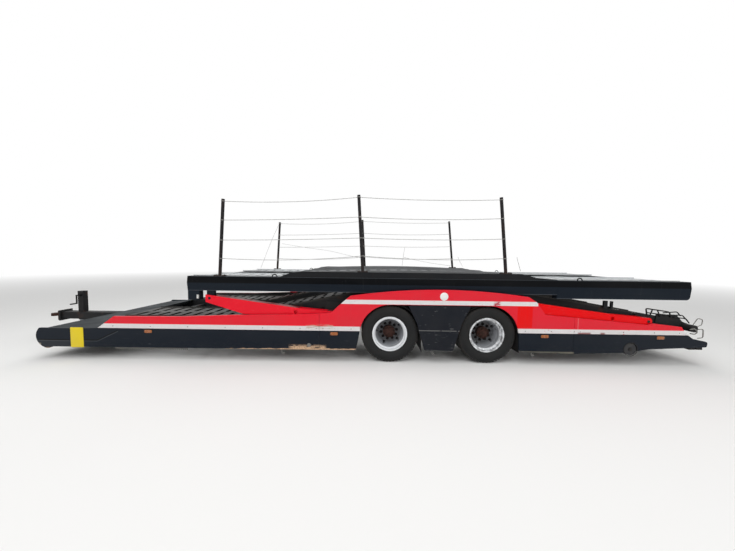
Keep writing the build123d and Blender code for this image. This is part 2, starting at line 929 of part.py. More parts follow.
half_rim = rim_width / 2
outer_rim = twin_spacing / 2
inner_edge = outer_rim - half_rim
outer_edge = outer_rim + half_rim
rim_inside = rim_well_radius - rim_wall
rim_profile = [
    (inner_edge - flange_thickness, rim_flange_radius),
    (inner_edge, rim_flange_radius),
    (inner_edge, bead_radius),
    (inner_edge + 26, bead_radius),
    (inner_edge + 38, rim_well_radius),
    (outer_edge - 46, rim_well_radius),
    (outer_edge - 32, bead_radius),
    (outer_edge, bead_radius),
    (outer_edge, rim_flange_radius),
    (outer_edge + flange_thickness, rim_flange_radius),
    (outer_edge + flange_thickness, bead_radius - rim_wall),
    (outer_edge - 30, bead_radius - rim_wall),
    (outer_edge - 44, rim_inside),
    (inner_edge + 40, rim_inside),
    (60, rim_inside - 12),
    (disc_thickness, 152),
    (disc_thickness, 60),
    (0, 60),
    (0, 160),
    (inner_edge - flange_thickness, rim_inside - 2),
]
bead_gap = 0.3
bore_spare = 5
hand_hole_depth = 70
for end, axle_x in (("front", 0), ("rear", axle_spacing)):
    for hand, side in (("left", -1), ("right", 1)):
        plane = wheel_plane(axle_x, side)
        with BuildPart() as tyres:
            for middle in (-outer_rim, outer_rim):
                with BuildSketch(plane) as profile:
                    with BuildLine():
                        for way in (-1, 1):
                            foot = (middle + way * (half_rim - bead_gap), bead_radius)
                            bead = (foot[0], rim_flange_radius + 2)
                            shoulder = (
                                middle + way * (tread_half_width + 14),
                                wheel_z - shoulder_drop,
                            )
                            Line(foot, bead)
                            ThreePointArc(
                                bead, (middle + way * tyre_width / 2, 306), shoulder
                            )
                            Line(shoulder, (middle + way * tread_half_width, wheel_z))
                        foot_half = half_rim - bead_gap
                        for radius, half in ((bead_radius, foot_half), (wheel_z, tread_half_width)):
                            Line((middle - half, radius), (middle + half, radius))
                    make_face()
                revolve(profile.sketch, axis=Axis(plane.origin, plane.x_dir))
        finish(tyres, end + "_" + hand + "_tyres")
        with BuildPart() as wheel:
            turned(plane, rim_profile)
            turned(plane, [(-out, radius) for out, radius in rim_profile])
            bore = spindle_radius + spindle_clearance
            back, end_of_bore = -drum_depth - cut_past, spindle_end + bore_spare
            turned(
                plane,
                [(-drum_depth, 0), (-drum_depth, drum_radius), (-drum_face, drum_radius), (-drum_face, 0)],
            )
            turned(
                plane,
                [(-drum_face, 0), (-drum_face, hub_radius), (hub_length, hub_radius), (hub_length, 0)],
            )
            turned(plane, [(back, 0), (back, bore), (end_of_bore, bore), (end_of_bore, 0)], Mode.SUBTRACT)
            with BuildSketch(Plane(origin=plane.origin, x_dir=(1, 0, 0), z_dir=(0, side, 0))) as holes:
                with PolarLocations(hand_hole_circle, hand_hole_count, hand_hole_start):
                    Circle(hand_hole_radius)
            extrude(holes.sketch, amount=hand_hole_depth, both=True, mode=Mode.SUBTRACT)
        finish(wheel, end + "_" + hand + "_wheel")

# Rear end: lamps and a blank plate on the bumper, side markers on the skirts.
bumper_rear_x = tail_deck_x + bumper_depth
lamp_inset, lamp_length, lamp_thickness, lamp_margin = 83, 400, 20, 10
plate_length, plate_thickness = 520, 5
with BuildPart() as tail_lamps:
    lamp_outer_y = panel_inner_y - lamp_inset
    block(
        (bumper_rear_x, bumper_rear_x + lamp_thickness),
        (-lamp_outer_y, -lamp_outer_y + lamp_length),
        (bumper_foot_z + lamp_margin, bumper_top_z - lamp_margin),
    )
    mirror(about=Plane.XZ)
finish(tail_lamps, "tail_lamps")

with BuildPart() as number_plate:
    block(
        (bumper_rear_x, bumper_rear_x + plate_thickness),
        (-plate_length / 2, plate_length / 2),
        (bumper_foot_z, bumper_top_z),
    )
finish(number_plate, "number_plate")

with BuildPart() as side_markers:
    for x in marker_places:
        block(
            (x - marker_length / 2, x + marker_length / 2),
            (-half_width, -panel_outer_y),
            (marker_z - marker_height / 2, marker_z + marker_height / 2),
        )
    mirror(about=Plane.XZ)
finish(side_markers, "side_markers")

for hand, side in (("left", -1), ("right", 1)):
    with BuildPart() as roller:
        with Locations((front_axle_x + roller_x, side * roller_y, roller_z)):
            Cylinder(roller_radius, roller_width, rotation=(90, 0, 0))
            Cylinder(
                roller_pin_radius + pin_clearance,
                roller_width,
                rotation=(90, 0, 0),
                mode=Mode.SUBTRACT,
            )
    finish(roller, hand + "_skid_roller")

# Loading ramps, stowed on the rear cross-members between the main beams.
ramp_width = track_inner_y - ramp_side_gap - ramp_inner_y
ramp_front_x, ramp_rear_x = 2300, 4070
rest_front, rest_rear = cross_places[8], cross_places[11]
ramp_slope = (rest_rear[1] - rest_front[1]) / (rest_rear[0] - rest_front[0])
ramp_lift = -ramp_slope * cross_width / 2 + seat_gap
ramp_line = [
    (x, rest_front[1] + ramp_slope * (x - rest_front[0]) + ramp_lift)
    for x in (ramp_front_x, ramp_rear_x)
]
with BuildPart() as loading_ramps:
    side_plate(band(ramp_line, ramp_plate, 0), ramp_inner_y, ramp_inner_y + ramp_width)
    for y in (ramp_inner_y, ramp_inner_y + ramp_width - ramp_wall):
        side_plate(band(ramp_line, ramp_flange, 0), y, y + ramp_wall)
    with BuildSketch(Plane.XY) as rungs:
        ramp_middle_x = front_axle_x + (ramp_front_x + ramp_rear_x) / 2
        with Locations((ramp_middle_x, -ramp_inner_y - ramp_width / 2)):
            with GridLocations(slot_pitch, 0, rung_count, 1):
                Rectangle(slot_width, ramp_width - 8 * ramp_wall)
    extrude(rungs.sketch, amount=deck_top_z, mode=Mode.SUBTRACT)
    mirror(about=Plane.XZ)
finish(loading_ramps, "loading_ramps")

# Brackets behind the rear arms' pivots, each with a lashing roller at the tail.
tail_bracket = [
    (3690, 560),
    (3700, 690),
    (3990, 660),
    (4060, 580),
    (4140, 550),
    (4140, 470),
    (4060, 440),
    (3960, 500),
]
tail_roller_x, tail_roller_z, tail_roller_radius = 4085, 510, 48
tail_bracket_plate = 12
with BuildPart() as tail_brackets:
    bracket_face_y = track_outer_y + tail_bracket_plate
    side_plate(tail_bracket, track_outer_y, bracket_face_y)
    cross_bar(
        tail_roller_x, tail_roller_z, tail_roller_radius, bracket_face_y, panel_inner_y - cheek_gap
    )
    mirror(about=Plane.XZ)
finish(tail_brackets, "tail_brackets")

# Lifting arms: forked at the deck pin and round the cylinder's rod.
arm_outline = [
    (-2473, 792),
    (-2473, 892),
    (-1763, 795),
    (-1198, 721),
    (-800, 686),
    (-800, 590),
    (-1200, 585),
    (-1979, 638),
]
arm_eye_x, arm_eye_z = -1266, 672
arm_eye_radius = 24
for name, shift_x, shift_z, cheek in arm_sets:
    pivot = (arm_pivot_x + shift_x, arm_pivot_z + shift_z)
    tip = (arm_tip_x + shift_x, arm_tip_z + shift_z)
    rod_pin = from_pivot(cylinder_reach, cylinder_rod_angle, shift_x, shift_z)
    # x from, x to, width of the openings cut right through the arm's height
    forks = [
        (tip[0] - fork_reach, tip[0] + fork_depth, fork_slot),
        (rod_pin[0] - fork_depth, pivot[0] - arm_boss_radius - cheek_gap, cylinder_slot),
    ]
    with BuildPart() as arms:
        side_plate([(x + shift_x, z + shift_z) for x, z in arm_outline], arm_inner_y, arm_outer_y)
        cross_bar(*pivot, arm_boss_radius, arm_inner_y, arm_outer_y)
        for x0, x1, width in forks:
            block(
                (x0, x1),
                (-arm_middle_y - width / 2, -arm_middle_y + width / 2),
                (0, deck_top_z),
                Mode.SUBTRACT,
            )
        cross_bar(*tip, tip_pin_radius + pin_clearance, arm_inner_y, arm_outer_y, Mode.SUBTRACT)
        cross_bar(
            arm_eye_x + shift_x,
            arm_eye_z + shift_z,
            arm_eye_radius,
            arm_outer_y - arm_width / 4,
            arm_outer_y,
            Mode.SUBTRACT,
        )
        cross_bar(*rod_pin, rod_pin_radius, arm_inner_y, arm_outer_y)
        cross_bar(*pivot, pivot_pin_radius, track_outer_y + pivot_inset, arm_outer_y + pivot_head)
        mirror(about=Plane.XZ)
    finish(arms, name + "_arms")

    base = from_pivot(cylinder_reach, cylinder_base_angle, shift_x, shift_z)
    rise = (rod_pin[0] - base[0], rod_pin[1] - base[1])
    closed_length = math.hypot(*rise)
    direction = Vector(rise[0], 0, rise[1]).normalized()

    # A plane across the cylinder at a distance up from its base pin.
    def across(distance):
        start = Vector(front_axle_x + base[0], -arm_middle_y, base[1]) + direction * distance
        return Plane(origin=start, x_dir=(0, 1, 0), z_dir=direction)

    eye_near, eye_far = arm_middle_y - eye_width / 2, arm_middle_y + eye_width / 2
    with BuildPart() as barrels:
        with BuildSketch(across(0)):
            Circle(cylinder_radius)
        extrude(amount=cylinder_length)
        cross_bar(*base, base_eye_radius, eye_near, eye_far)
        with BuildSketch(across(cylinder_bore_start)):
            Circle(rod_radius + rod_clearance)
        extrude(amount=cylinder_length, mode=Mode.SUBTRACT)
        cross_bar(*base, base_pin_radius + pin_clearance, arm_inner_y, arm_outer_y, Mode.SUBTRACT)
        mirror(about=Plane.XZ)
    finish(barrels, name + "_lift_barrels")

    with BuildPart() as rods:
        with BuildSketch(across(rod_start)):
            Circle(rod_radius)
        extrude(amount=closed_length - rod_start - rod_pin_radius)
        eye_bore = rod_pin_radius + rod_eye_clearance
        cross_bar(*rod_pin, eye_bore + rod_eye_wall, eye_near, eye_far)
        cross_bar(*rod_pin, eye_bore, eye_near, eye_far, Mode.SUBTRACT)
        mirror(about=Plane.XZ)
    finish(rods, name + "_lift_rods")

# Upper deck: hexagonal side beams with lugs for the arms, end brackets and
# lashing rings; cross-members, tracks and step boards between and on them.
beam_lengths = [
    (deck_front_x, deck_beam_depth),
    (deck_tail_x, deck_tail_depth),
]
facet_y = arm_outer_y - deck_facet_inset
with BuildPart() as deck_side_beams:
    for x0, depth in beam_lengths:
        with BuildSketch(Plane.YZ.offset(front_axle_x + x0)) as section:
            with BuildLine():
                Polyline(
                    (-arm_inner_y, deck_top_z),
                    (-facet_y, deck_top_z),
                    (-arm_outer_y, deck_top_z - deck_facet_drop),
                    (-facet_y, deck_top_z - depth),
                    (-arm_inner_y, deck_top_z - depth),
                    close=True,
                )
            make_face()
        extrude(section.sketch, amount=deck_rear_x - x0)
    corner = (deck_rear_x, deck_top_z - deck_tail_depth)
    with BuildSketch(side_plane(-arm_inner_y)) as rounding:
        with BuildLine():
            near = (corner[0] - deck_corner_radius, corner[1])
            far = (corner[0], corner[1] + deck_corner_radius)
            inset = deck_corner_radius * (1 - math.sqrt(0.5))
            ThreePointArc(near, (corner[0] - inset, corner[1] + inset), far)
            Polyline(far, corner, near)
        make_face()
    extrude(rounding.sketch, amount=arm_width, mode=Mode.SUBTRACT)
    for name, shift_x, shift_z, cheek in arm_sets:
        tip = (arm_tip_x + shift_x, arm_tip_z + shift_z)
        inner = arm_middle_y - deck_lug_thickness / 2
        outer = arm_middle_y + deck_lug_thickness / 2
        side_plate(
            [
                (tip[0] - deck_lug_radius, tip[1]),
                (tip[0] - deck_lug_radius, deck_beam_foot_z + lug_overlap),
                (tip[0] + deck_lug_radius, deck_beam_foot_z + lug_overlap),
                (tip[0] + deck_lug_radius, tip[1]),
            ],
            inner,
            outer,
        )
        cross_bar(*tip, deck_lug_radius, inner, outer)
        cross_bar(*tip, tip_pin_radius, arm_inner_y, arm_outer_y)
    block(
        (deck_front_x, deck_front_x + end_bracket_length),
        (-facet_y + beam_gap, -arm_inner_y),
        (deck_beam_foot_z - end_bracket_depth, deck_beam_foot_z + lug_overlap),
    )
    for x in lashing_places:
        with BuildSketch(Plane.XY.offset(deck_top_z)) as bar:
            with Locations((front_axle_x + x + lashing_radius, -facet_y + lashing_inset)):
                Circle(lashing_bar)
        revolve(
            bar.sketch,
            axis=Axis((front_axle_x + x, -facet_y + lashing_inset, deck_top_z), (0, -1, 0)),
            revolution_arc=180,
        )
    mirror(about=Plane.XZ)
finish(deck_side_beams, "deck_side_beams")

deck_cross_x = (-2640, -1950, -1240, -540, 160, 860, 1560, 2300, 3100, 3900)
with BuildPart() as deck_cross_members:
    cross_limits = (deck_cross_top_z - deck_cross_depth, deck_cross_top_z)
    for x in deck_cross_x:
        edges = (x - deck_cross_width / 2, x + deck_cross_width / 2)
        block(edges, (-arm_inner_y, arm_inner_y), cross_limits)
finish(deck_cross_members, "deck_cross_members")

with BuildPart() as deck_flat_tracks:
    for x0, x1 in ((deck_front_x, deck_hump_start_x), (deck_hump_end_x, deck_rear_x)):
        track([(x0, deck_track_z), (x1, deck_track_z)])
    mirror(about=Plane.XZ)
finish(deck_flat_tracks, "deck_flat_tracks")

hump_first_x = deck_hump_start_x + seam_gap
hump_last_x = deck_hump_end_x - seam_gap


# The side line of the arched middle length, raised by lift, in a line builder.
def hump_line(lift):
    foot_z = deck_track_z + lift
    shoulder_z = foot_z + deck_hump_rise
    Line((hump_first_x, foot_z), (hump_first_x + hump_ramp, shoulder_z))
    ThreePointArc(
        (hump_first_x + hump_ramp, shoulder_z),
        ((hump_first_x + hump_last_x) / 2, foot_z + deck_hump_crown),
        (hump_last_x - hump_ramp, shoulder_z),
    )
    Line((hump_last_x - hump_ramp, shoulder_z), (hump_last_x, foot_z))


with BuildPart() as deck_hump_tracks:
    with BuildSketch(side_plane(-track_inner_y)) as plate:
        with BuildLine():
            hump_line(0)
            hump_line(-track_plate)
            for x in (hump_first_x, hump_last_x):
                Line((x, deck_track_z), (x, deck_track_z - track_plate))
        make_face()
    extrude(plate.sketch, amount=track_width)
    track_slots(deck_hump_start_x, deck_hump_end_x)
    for y in (track_inner_y, track_outer_y - track_plate):
        with BuildSketch(side_plane(-y)) as rim:
            with BuildLine():
                hump_line(hump_rim)
                Polyline(
                    (hump_first_x, deck_track_z + hump_rim),
                    (hump_first_x, deck_cross_top_z),
                    (hump_last_x, deck_cross_top_z),
                    (hump_last_x, deck_track_z + hump_rim),
                )
            make_face()
        extrude(rim.sketch, amount=track_plate)
    mirror(about=Plane.XZ)
finish(deck_hump_tracks, "deck_hump_tracks")

with BuildPart() as deck_step_boards:
    side_plate(
        [
            (-1487, deck_top_z),
            (-1330, step_top_z - 14),
            (-1200, step_top_z),
            (1760, step_top_z),
            (1946, step_top_z - 46),
            (deck_tail_x - beam_gap, deck_top_z + 8),
            (deck_tail_x - beam_gap, deck_top_z),
        ],
        arm_inner_y + beam_gap,
        arm_inner_y + beam_gap + step_thickness,
    )
    mirror(about=Plane.XZ)
finish(deck_step_boards, "deck_step_boards")

# The lamps sit near the rear edge of the end brackets' outer faces.
front_lamp_length, front_lamp_height = 24, 50
front_lamp_margin, front_lamp_drop = 1, 81
front_lamp_x = deck_front_x + end_bracket_length - front_lamp_length / 2 - front_lamp_margin
front_lamp_z = deck_beam_foot_z - front_lamp_drop
with BuildPart() as front_marker_lamps:
    block(
        (front_lamp_x - front_lamp_length / 2, front_lamp_x + front_lamp_length / 2),
        (-arm_outer_y, -facet_y + beam_gap),
        (front_lamp_z - front_lamp_height / 2, front_lamp_z + front_lamp_height / 2),
    )
    mirror(about=Plane.XZ)
finish(front_marker_lamps, "front_marker_lamps")

post_y = arm_middle_y + beam_gap
post_foot_half_x, post_foot_half_y = 70, 34
# foot x, foot z, lean of the head, height of the head over the deck's beam
posts = [
    (-2301, deck_top_z, 63, 1026),
    (-375, step_top_z, -63, 1099),
    (1550, step_top_z, -102, 1089),
]
with BuildPart() as rail_posts:
    for foot_x, foot_z, lean, height in posts:
        foot = Vector(front_axle_x + foot_x, -post_y, foot_z + post_foot_height / 2)
        head = Vector(front_axle_x + foot_x + lean, -post_y, deck_top_z + height)
        along = head - foot
        with BuildSketch(Plane(origin=foot, x_dir=(0, 1, 0), z_dir=along.normalized())) as section:
            Circle(post_radius)
        extrude(section.sketch, amount=along.length)
        block(
            (foot_x - post_foot_half_x, foot_x + post_foot_half_x),
            (-post_y - post_foot_half_y, -post_y + post_foot_half_y),
            (foot_z, foot_z + post_foot_height),
        )
    mirror(about=Plane.XZ)
finish(rail_posts, "rail_posts")
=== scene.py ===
import math

import bmesh
import bpy
import numpy as np
from mathutils import Matrix, Vector


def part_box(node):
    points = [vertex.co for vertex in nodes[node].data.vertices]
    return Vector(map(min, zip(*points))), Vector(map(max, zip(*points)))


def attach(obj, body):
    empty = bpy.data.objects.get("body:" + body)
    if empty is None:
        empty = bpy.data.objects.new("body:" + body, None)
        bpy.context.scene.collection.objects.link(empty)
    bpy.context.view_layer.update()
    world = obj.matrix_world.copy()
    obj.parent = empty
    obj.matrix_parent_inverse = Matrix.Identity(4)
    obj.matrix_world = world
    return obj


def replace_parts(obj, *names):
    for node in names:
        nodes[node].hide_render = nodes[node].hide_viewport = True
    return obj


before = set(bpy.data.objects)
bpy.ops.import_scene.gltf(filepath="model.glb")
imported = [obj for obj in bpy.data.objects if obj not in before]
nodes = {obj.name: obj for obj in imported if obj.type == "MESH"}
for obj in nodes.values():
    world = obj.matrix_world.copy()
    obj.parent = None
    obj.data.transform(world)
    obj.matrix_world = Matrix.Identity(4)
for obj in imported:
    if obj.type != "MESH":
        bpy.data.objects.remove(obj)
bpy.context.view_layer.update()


# The middle of a CAD node's box.
def middleOf(name):
    low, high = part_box(name)
    return (np.array(low) + np.array(high)) / 2


frontWheel = middleOf("front_left_wheel")
rearWheel = middleOf("rear_left_wheel")
axleX = float(frontWheel[0])      # side-view places are given behind the front axle
axleSpacing = float(rearWheel[0] - frontWheel[0])
wheelZ = float(frontWheel[2])
sideY = float(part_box("side_panels")[1][1])      # outer face of panels and skirts
trackRise = 0.015                 # the deck's surface over its cross members
deckTop = float(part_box("deck_cross_members")[1][2]) + trackRise
sides = (("left", -1), ("right", 1))


# Photo camera: place and turn from a fit to the trailer's known points
photoCamera = {
    "place": (0.5612, -4.8939, 1.3975),
    "pitch": -0.0613768,
    "yaw": 0.0017225,
    "roll": 0.0124789,
    "focalPixels": 275.9252,
    "imageWidth": 735,
    "sensor": 36.0,
    "clip": (0.05, 400),
}


def makeCamera(c):
    data = bpy.data.cameras.new("photoCamera")
    data.sensor_width = c["sensor"]
    data.lens = c["sensor"] * c["focalPixels"] / c["imageWidth"]
    data.clip_start, data.clip_end = c["clip"]
    camera = bpy.data.objects.new("photoCamera", data)
    bpy.context.scene.collection.objects.link(camera)
    level = Matrix.Rotation(c["yaw"], 4, "Z") @ Matrix.Rotation(math.pi / 2 + c["pitch"], 4, "X")
    camera.matrix_world = (
        Matrix.Translation(c["place"]) @ level @ Matrix.Rotation(c["roll"], 4, "Z")
    )
    bpy.context.scene.camera = camera


makeCamera(photoCamera)
print("camera placed")


# A number or colour running through a material; Python's operators add its nodes.
class Signal:
    def __init__(self, finish, socket):
        self.finish, self.socket = finish, socket

    def maths(self, operation, *values):
        return self.finish.node("Math", {"operation": operation}, dict(enumerate(values)))

    def __add__(self, other):
        return self.maths("ADD", self, other)

    def __radd__(self, other):
        return self.maths("ADD", other, self)

    def __sub__(self, other):
        return self.maths("SUBTRACT", self, other)

    def __rsub__(self, other):
        return self.maths("SUBTRACT", other, self)

    def __mul__(self, other):
        return self.maths("MULTIPLY", self, other)

    def __rmul__(self, other):
        return self.maths("MULTIPLY", other, self)

    def __pow__(self, other):
        return self.maths("POWER", self, other)

    def __gt__(self, other):
        return self.maths("GREATER_THAN", self, other)

    def __lt__(self, other):
        return self.maths("LESS_THAN", self, other)

    def smaller(self, other):
        return self.maths("MINIMUM", self, other)

    def larger(self, other):
        return self.maths("MAXIMUM", self, other)

    def size(self):
        return self.maths("ABSOLUTE", self)

    def wave(self, rate):
        return self.maths("SINE", self * rate)

    # 0 below low, 1 above high, straight between them
    def ramp(self, low, high):
        sockets = {"Value": self, "From Min": low, "From Max": high}
        return self.finish.node("MapRange", {"clamp": True}, sockets)

    # 1 between low and high with edges of that softness
    def between(self, low, high, soft=0.0008):
        return self.ramp(low - soft, low + soft) * (1 - self.ramp(high - soft, high + soft))


# One material, built node by node.
class Finish:
    def __init__(self, name, **constants):
        self.material = bpy.data.materials.new(name)
        self.material.use_nodes = True
        self.tree = self.material.node_tree
        self.tree.nodes.clear()
        self.shader = self.tree.nodes.new("ShaderNodeBsdfPrincipled")
        output = self.tree.nodes.new("ShaderNodeOutputMaterial")
        self.tree.links.new(self.shader.outputs[0], output.inputs[0])
        for key, value in constants.items():
            self.shader.inputs[key.replace("_", " ")].default_value = value
        place = self.tree.nodes.new("ShaderNodeTexCoord").outputs["Object"]
        self.place = Signal(self, place)
        split = self.tree.nodes.new("ShaderNodeSeparateXYZ")
        self.tree.links.new(place, split.inputs[0])
        self.x, self.y, self.z = (Signal(self, out) for out in split.outputs)

    def feed(self, socket, value):
        if isinstance(value, Signal):
            self.tree.links.new(value.socket, socket)
        else:
            socket.default_value = value

    def node(self, kind, settings, sockets, out=0):
        made = self.tree.nodes.new("ShaderNode" + kind)
        for key, value in settings.items():
            setattr(made, key, value)
        for key, value in sockets.items():
            self.feed(made.inputs[key], value)
        return Signal(self, made.outputs[out])

    def moved(self, stretch, shift=(0, 0, 0)):
        sockets = {"Vector": self.place, "Scale": stretch, "Location": shift}
        return self.node("Mapping", {}, sockets)

    # Noise from 0 to 1 on places in metres, stretched by the three scales
    def noise(self, scale, detail=3.0, stretch=(1, 1, 1), shift=(0, 0, 0)):
        sockets = {"Vector": self.moved(stretch, shift), "Scale": scale, "Detail": detail}
        return self.node("TexNoise", {}, sockets)

    # Distance to the nearest of scattered points, or (out 1) a colour for each
    def cells(self, scale, out=0):
        return self.node("TexVoronoi", {}, {"Vector": self.place, "Scale": scale}, out)

    # 1 in a side-view box given behind the front axle
    def area(self, x0, x1, z0, z1, soft=0.0008):
        return self.x.between(x0 + axleX, x1 + axleX, soft) * self.z.between(z0, z1, soft)

    # 1 on faces that look up
    def upward(self):
        normal = self.node("NewGeometry", {}, {}, 1)
        return self.node("SeparateXYZ", {}, {0: normal}, 2) > 0.6

    def mix(self, factor, under, over):
        under = under if isinstance(under, Signal) else (*under, 1)
        over = over if isinstance(over, Signal) else (*over, 1)
        return self.node("Mix", {"data_type": "RGBA"}, {0: factor, 6: under, 7: over}, 2)

    def relief(self, height, strength=0.3, distance=0.002):
        sockets = {"Height": height, "Strength": strength, "Distance": distance}
        self.feed(self.shader.inputs["Normal"], self.node("Bump", {}, sockets))

    def done(self, **links):
        for key, value in links.items():
            self.feed(self.shader.inputs[key.replace("_", " ")], value)
        return self.material


paint = {
    "red": (0.80, 0.006, 0.022),
    "fadedRed": (0.66, 0.018, 0.036),
    "brightRed": (0.80, 0.001, 0.002),
    "white": (0.74, 0.72, 0.72),
    "dust": (0.13, 0.12, 0.105),
    "tanSteel": (0.66, 0.45, 0.29),
    "rust": (0.095, 0.038, 0.020),
    "freshRust": (0.048, 0.019, 0.014),
    "deepRust": (0.030, 0.014, 0.010),
}
# places on the red panels: x from, x to behind the front axle; z from, z to
panelWear = {
    "stripes": (
        (-3.93, -0.40, 0.430, 0.490),
        (1.700, 3.99, 0.430, 0.490),
        (-0.70, 1.955, 0.794, 0.851),
    ),
    "repaint": (1.687, 1.887, 0.504, 0.794),
    "seam": (2.492, 2.501, 0.490, 0.720),      # the rear panels' worn joint
    "seamColour": (0.75, 0.30, 0.30),
    "skin": 0.02,              # paint stays within this of the outer face
    "innerFace": (0.010, 0.010, 0.011),
    "speck": (0.30, 0.20, 0.18),
    # scraped paint: box, how little of it is marked, colour of the mark
    "scuffs": (
        (-1.12, -0.76, 0.455, 0.508, 0.53, (0.50, 0.40, 0.32)),
        (1.372, 1.452, 0.780, 0.850, 0.40, (0.45, 0.008, 0.030)),
        (2.50, 2.67, 0.425, 0.447, 0.38, (0.20, 0.022, 0.022)),
        (2.80, 2.86, 0.425, 0.447, 0.36, (0.20, 0.022, 0.022)),
    ),
}


# Red panels with white stripes, a repainted patch, scuffs and dust; dark inside.
def redPanelFinish(w):
    f = Finish("redPanelPaint", Coat_Roughness=0.12, Specular_IOR_Level=0.16)
    chips = (f.noise(38, 4, (0.5, 1, 1.6)) > 0.67) * (f.noise(2.3, 2) > 0.55)
    outside = f.y.size() > sideY - w["skin"]
    white = sum(f.area(*stripe) for stripe in w["stripes"]) * outside * (1 - chips)
    grime = f.noise(1.7, 5, (1, 1, 2.2)).ramp(0.40, 0.75)
    streaks = f.noise(14, 3, (3.2, 1, 0.16)).ramp(0.54, 0.76)
    low = 1 - f.z.ramp(0.43, 0.60)
    red = f.mix(f.noise(0.8, 2).ramp(0.3, 0.7) * 0.6, paint["red"], paint["fadedRed"])
    fresh = f.area(*w["repaint"], 0.002) * outside
    red = f.mix(fresh, red, paint["brightRed"])
    red = f.mix(f.area(*w["seam"], 0.001) * 0.45, red, w["seamColour"])
    colour = f.mix(white, red, paint["white"])
    colour = f.mix(outside, w["innerFace"], colour)
    dirt = (grime * 0.07 + streaks * 0.06 + low * 0.03).smaller(0.4)
    colour = f.mix(dirt, colour, paint["dust"])
    scraped = f.noise(46, 4, (0.22, 1, 2.6))
    for x0, x1, z0, z1, limit, shade in w["scuffs"]:
        mark = f.area(x0, x1, z0, z1, 0.012) * (scraped > limit)
        colour = f.mix(mark, colour, shade)
    specks = f.cells(120).ramp(0.10, 0.06) * (f.noise(7, 2) > 0.60)
    colour = f.mix(specks * 0.4, colour, w["speck"])
    f.relief(f.noise(160, 2) * 0.4 + f.noise(1.1, 1) * 3, 0.08, 0.004)
    coat = (0.14 - dirt * 0.3) * (1 - fresh)
    return f.done(Base_Color=colour, Roughness=0.32 + dirt * 0.6, Coat_Weight=coat)


armWear = {"scratch": (0.62, 0.45, 0.42), "darkTop": (0.045, 0.016, 0.016)}


# Red arms: the rear pair is freshly painted; grease, scratches, darker upward faces.
def redArmFinish(w):
    f = Finish("redArmPaint", Coat_Roughness=0.1, Specular_IOR_Level=0.12)
    scratch = f.noise(30, 3, (0.35, 1, 3.5)).ramp(0.66, 0.75)
    grease = f.noise(5, 4, (0.6, 1, 1.3)).ramp(0.58, 0.80)
    fresh = f.x > axleX
    red = f.mix(fresh, paint["red"], paint["brightRed"])
    dull = f.mix(0.5, paint["red"], paint["fadedRed"])
    colour = f.mix(f.noise(1.2, 2).ramp(0.35, 0.7) * 0.18, red, dull)
    colour = f.mix(grease * 0.16, colour, paint["deepRust"])
    colour = f.mix(scratch * 0.25, colour, w["scratch"])
    # faces that look up are darkened
    colour = f.mix(f.upward() * 0.75, colour, w["darkTop"])
    f.relief(f.noise(120, 2), 0.10, 0.001)
    coat = (0.12 - grease * 0.1) * (1 - fresh)
    return f.done(Base_Color=colour, Roughness=0.30 + grease * 0.4, Coat_Weight=coat)


skirtWear = {
    "paint": (0.0055, 0.0095, 0.0165),
    "splash": (0.16, 0.33),            # height over which road dirt fades
    # pressed line: height, where it bends up, where it ends, its rise and half width
    "grooveZ": 0.262,
    "grooveBend": -3.916,
    "grooveEnd": -3.634,
    "grooveSlope": 0.489,
    "grooveHalf": 0.0065,
    # painted shade in the pressed line
    "groove": (0.001, 0.001, 0.001),
    # painted highlight on the lip under the pressed line
    "lip": (0.12, 0.13, 0.14),
    "noseFade": (-4.35, -3.95),        # paler below the line ahead of here
    "paleNose": (0.16, 0.17, 0.18),
    "swipe": (0.30, 0.31, 0.32),
    "scrape": (-1.34, -0.86, 0.150, 0.226),
    "tanFoot": (-2.20, -0.43, 0.150, 0.192),
    "tanRun": (-0.9, -2.2),            # the tan foot gets lower from here to there
    "tanTop": 0.205,
    "tanDrop": 0.014,
    "rearFoot": (1.74, 2.46, 0.150, 0.184),
    "dullFoot": (0.24, 0.23, 0.18),
    "noseX": -4.66,
    "noseTop": 0.22,
    "creamEdge": (0.42, 0.38, 0.31),
    "edgeTop": 0.170,
}
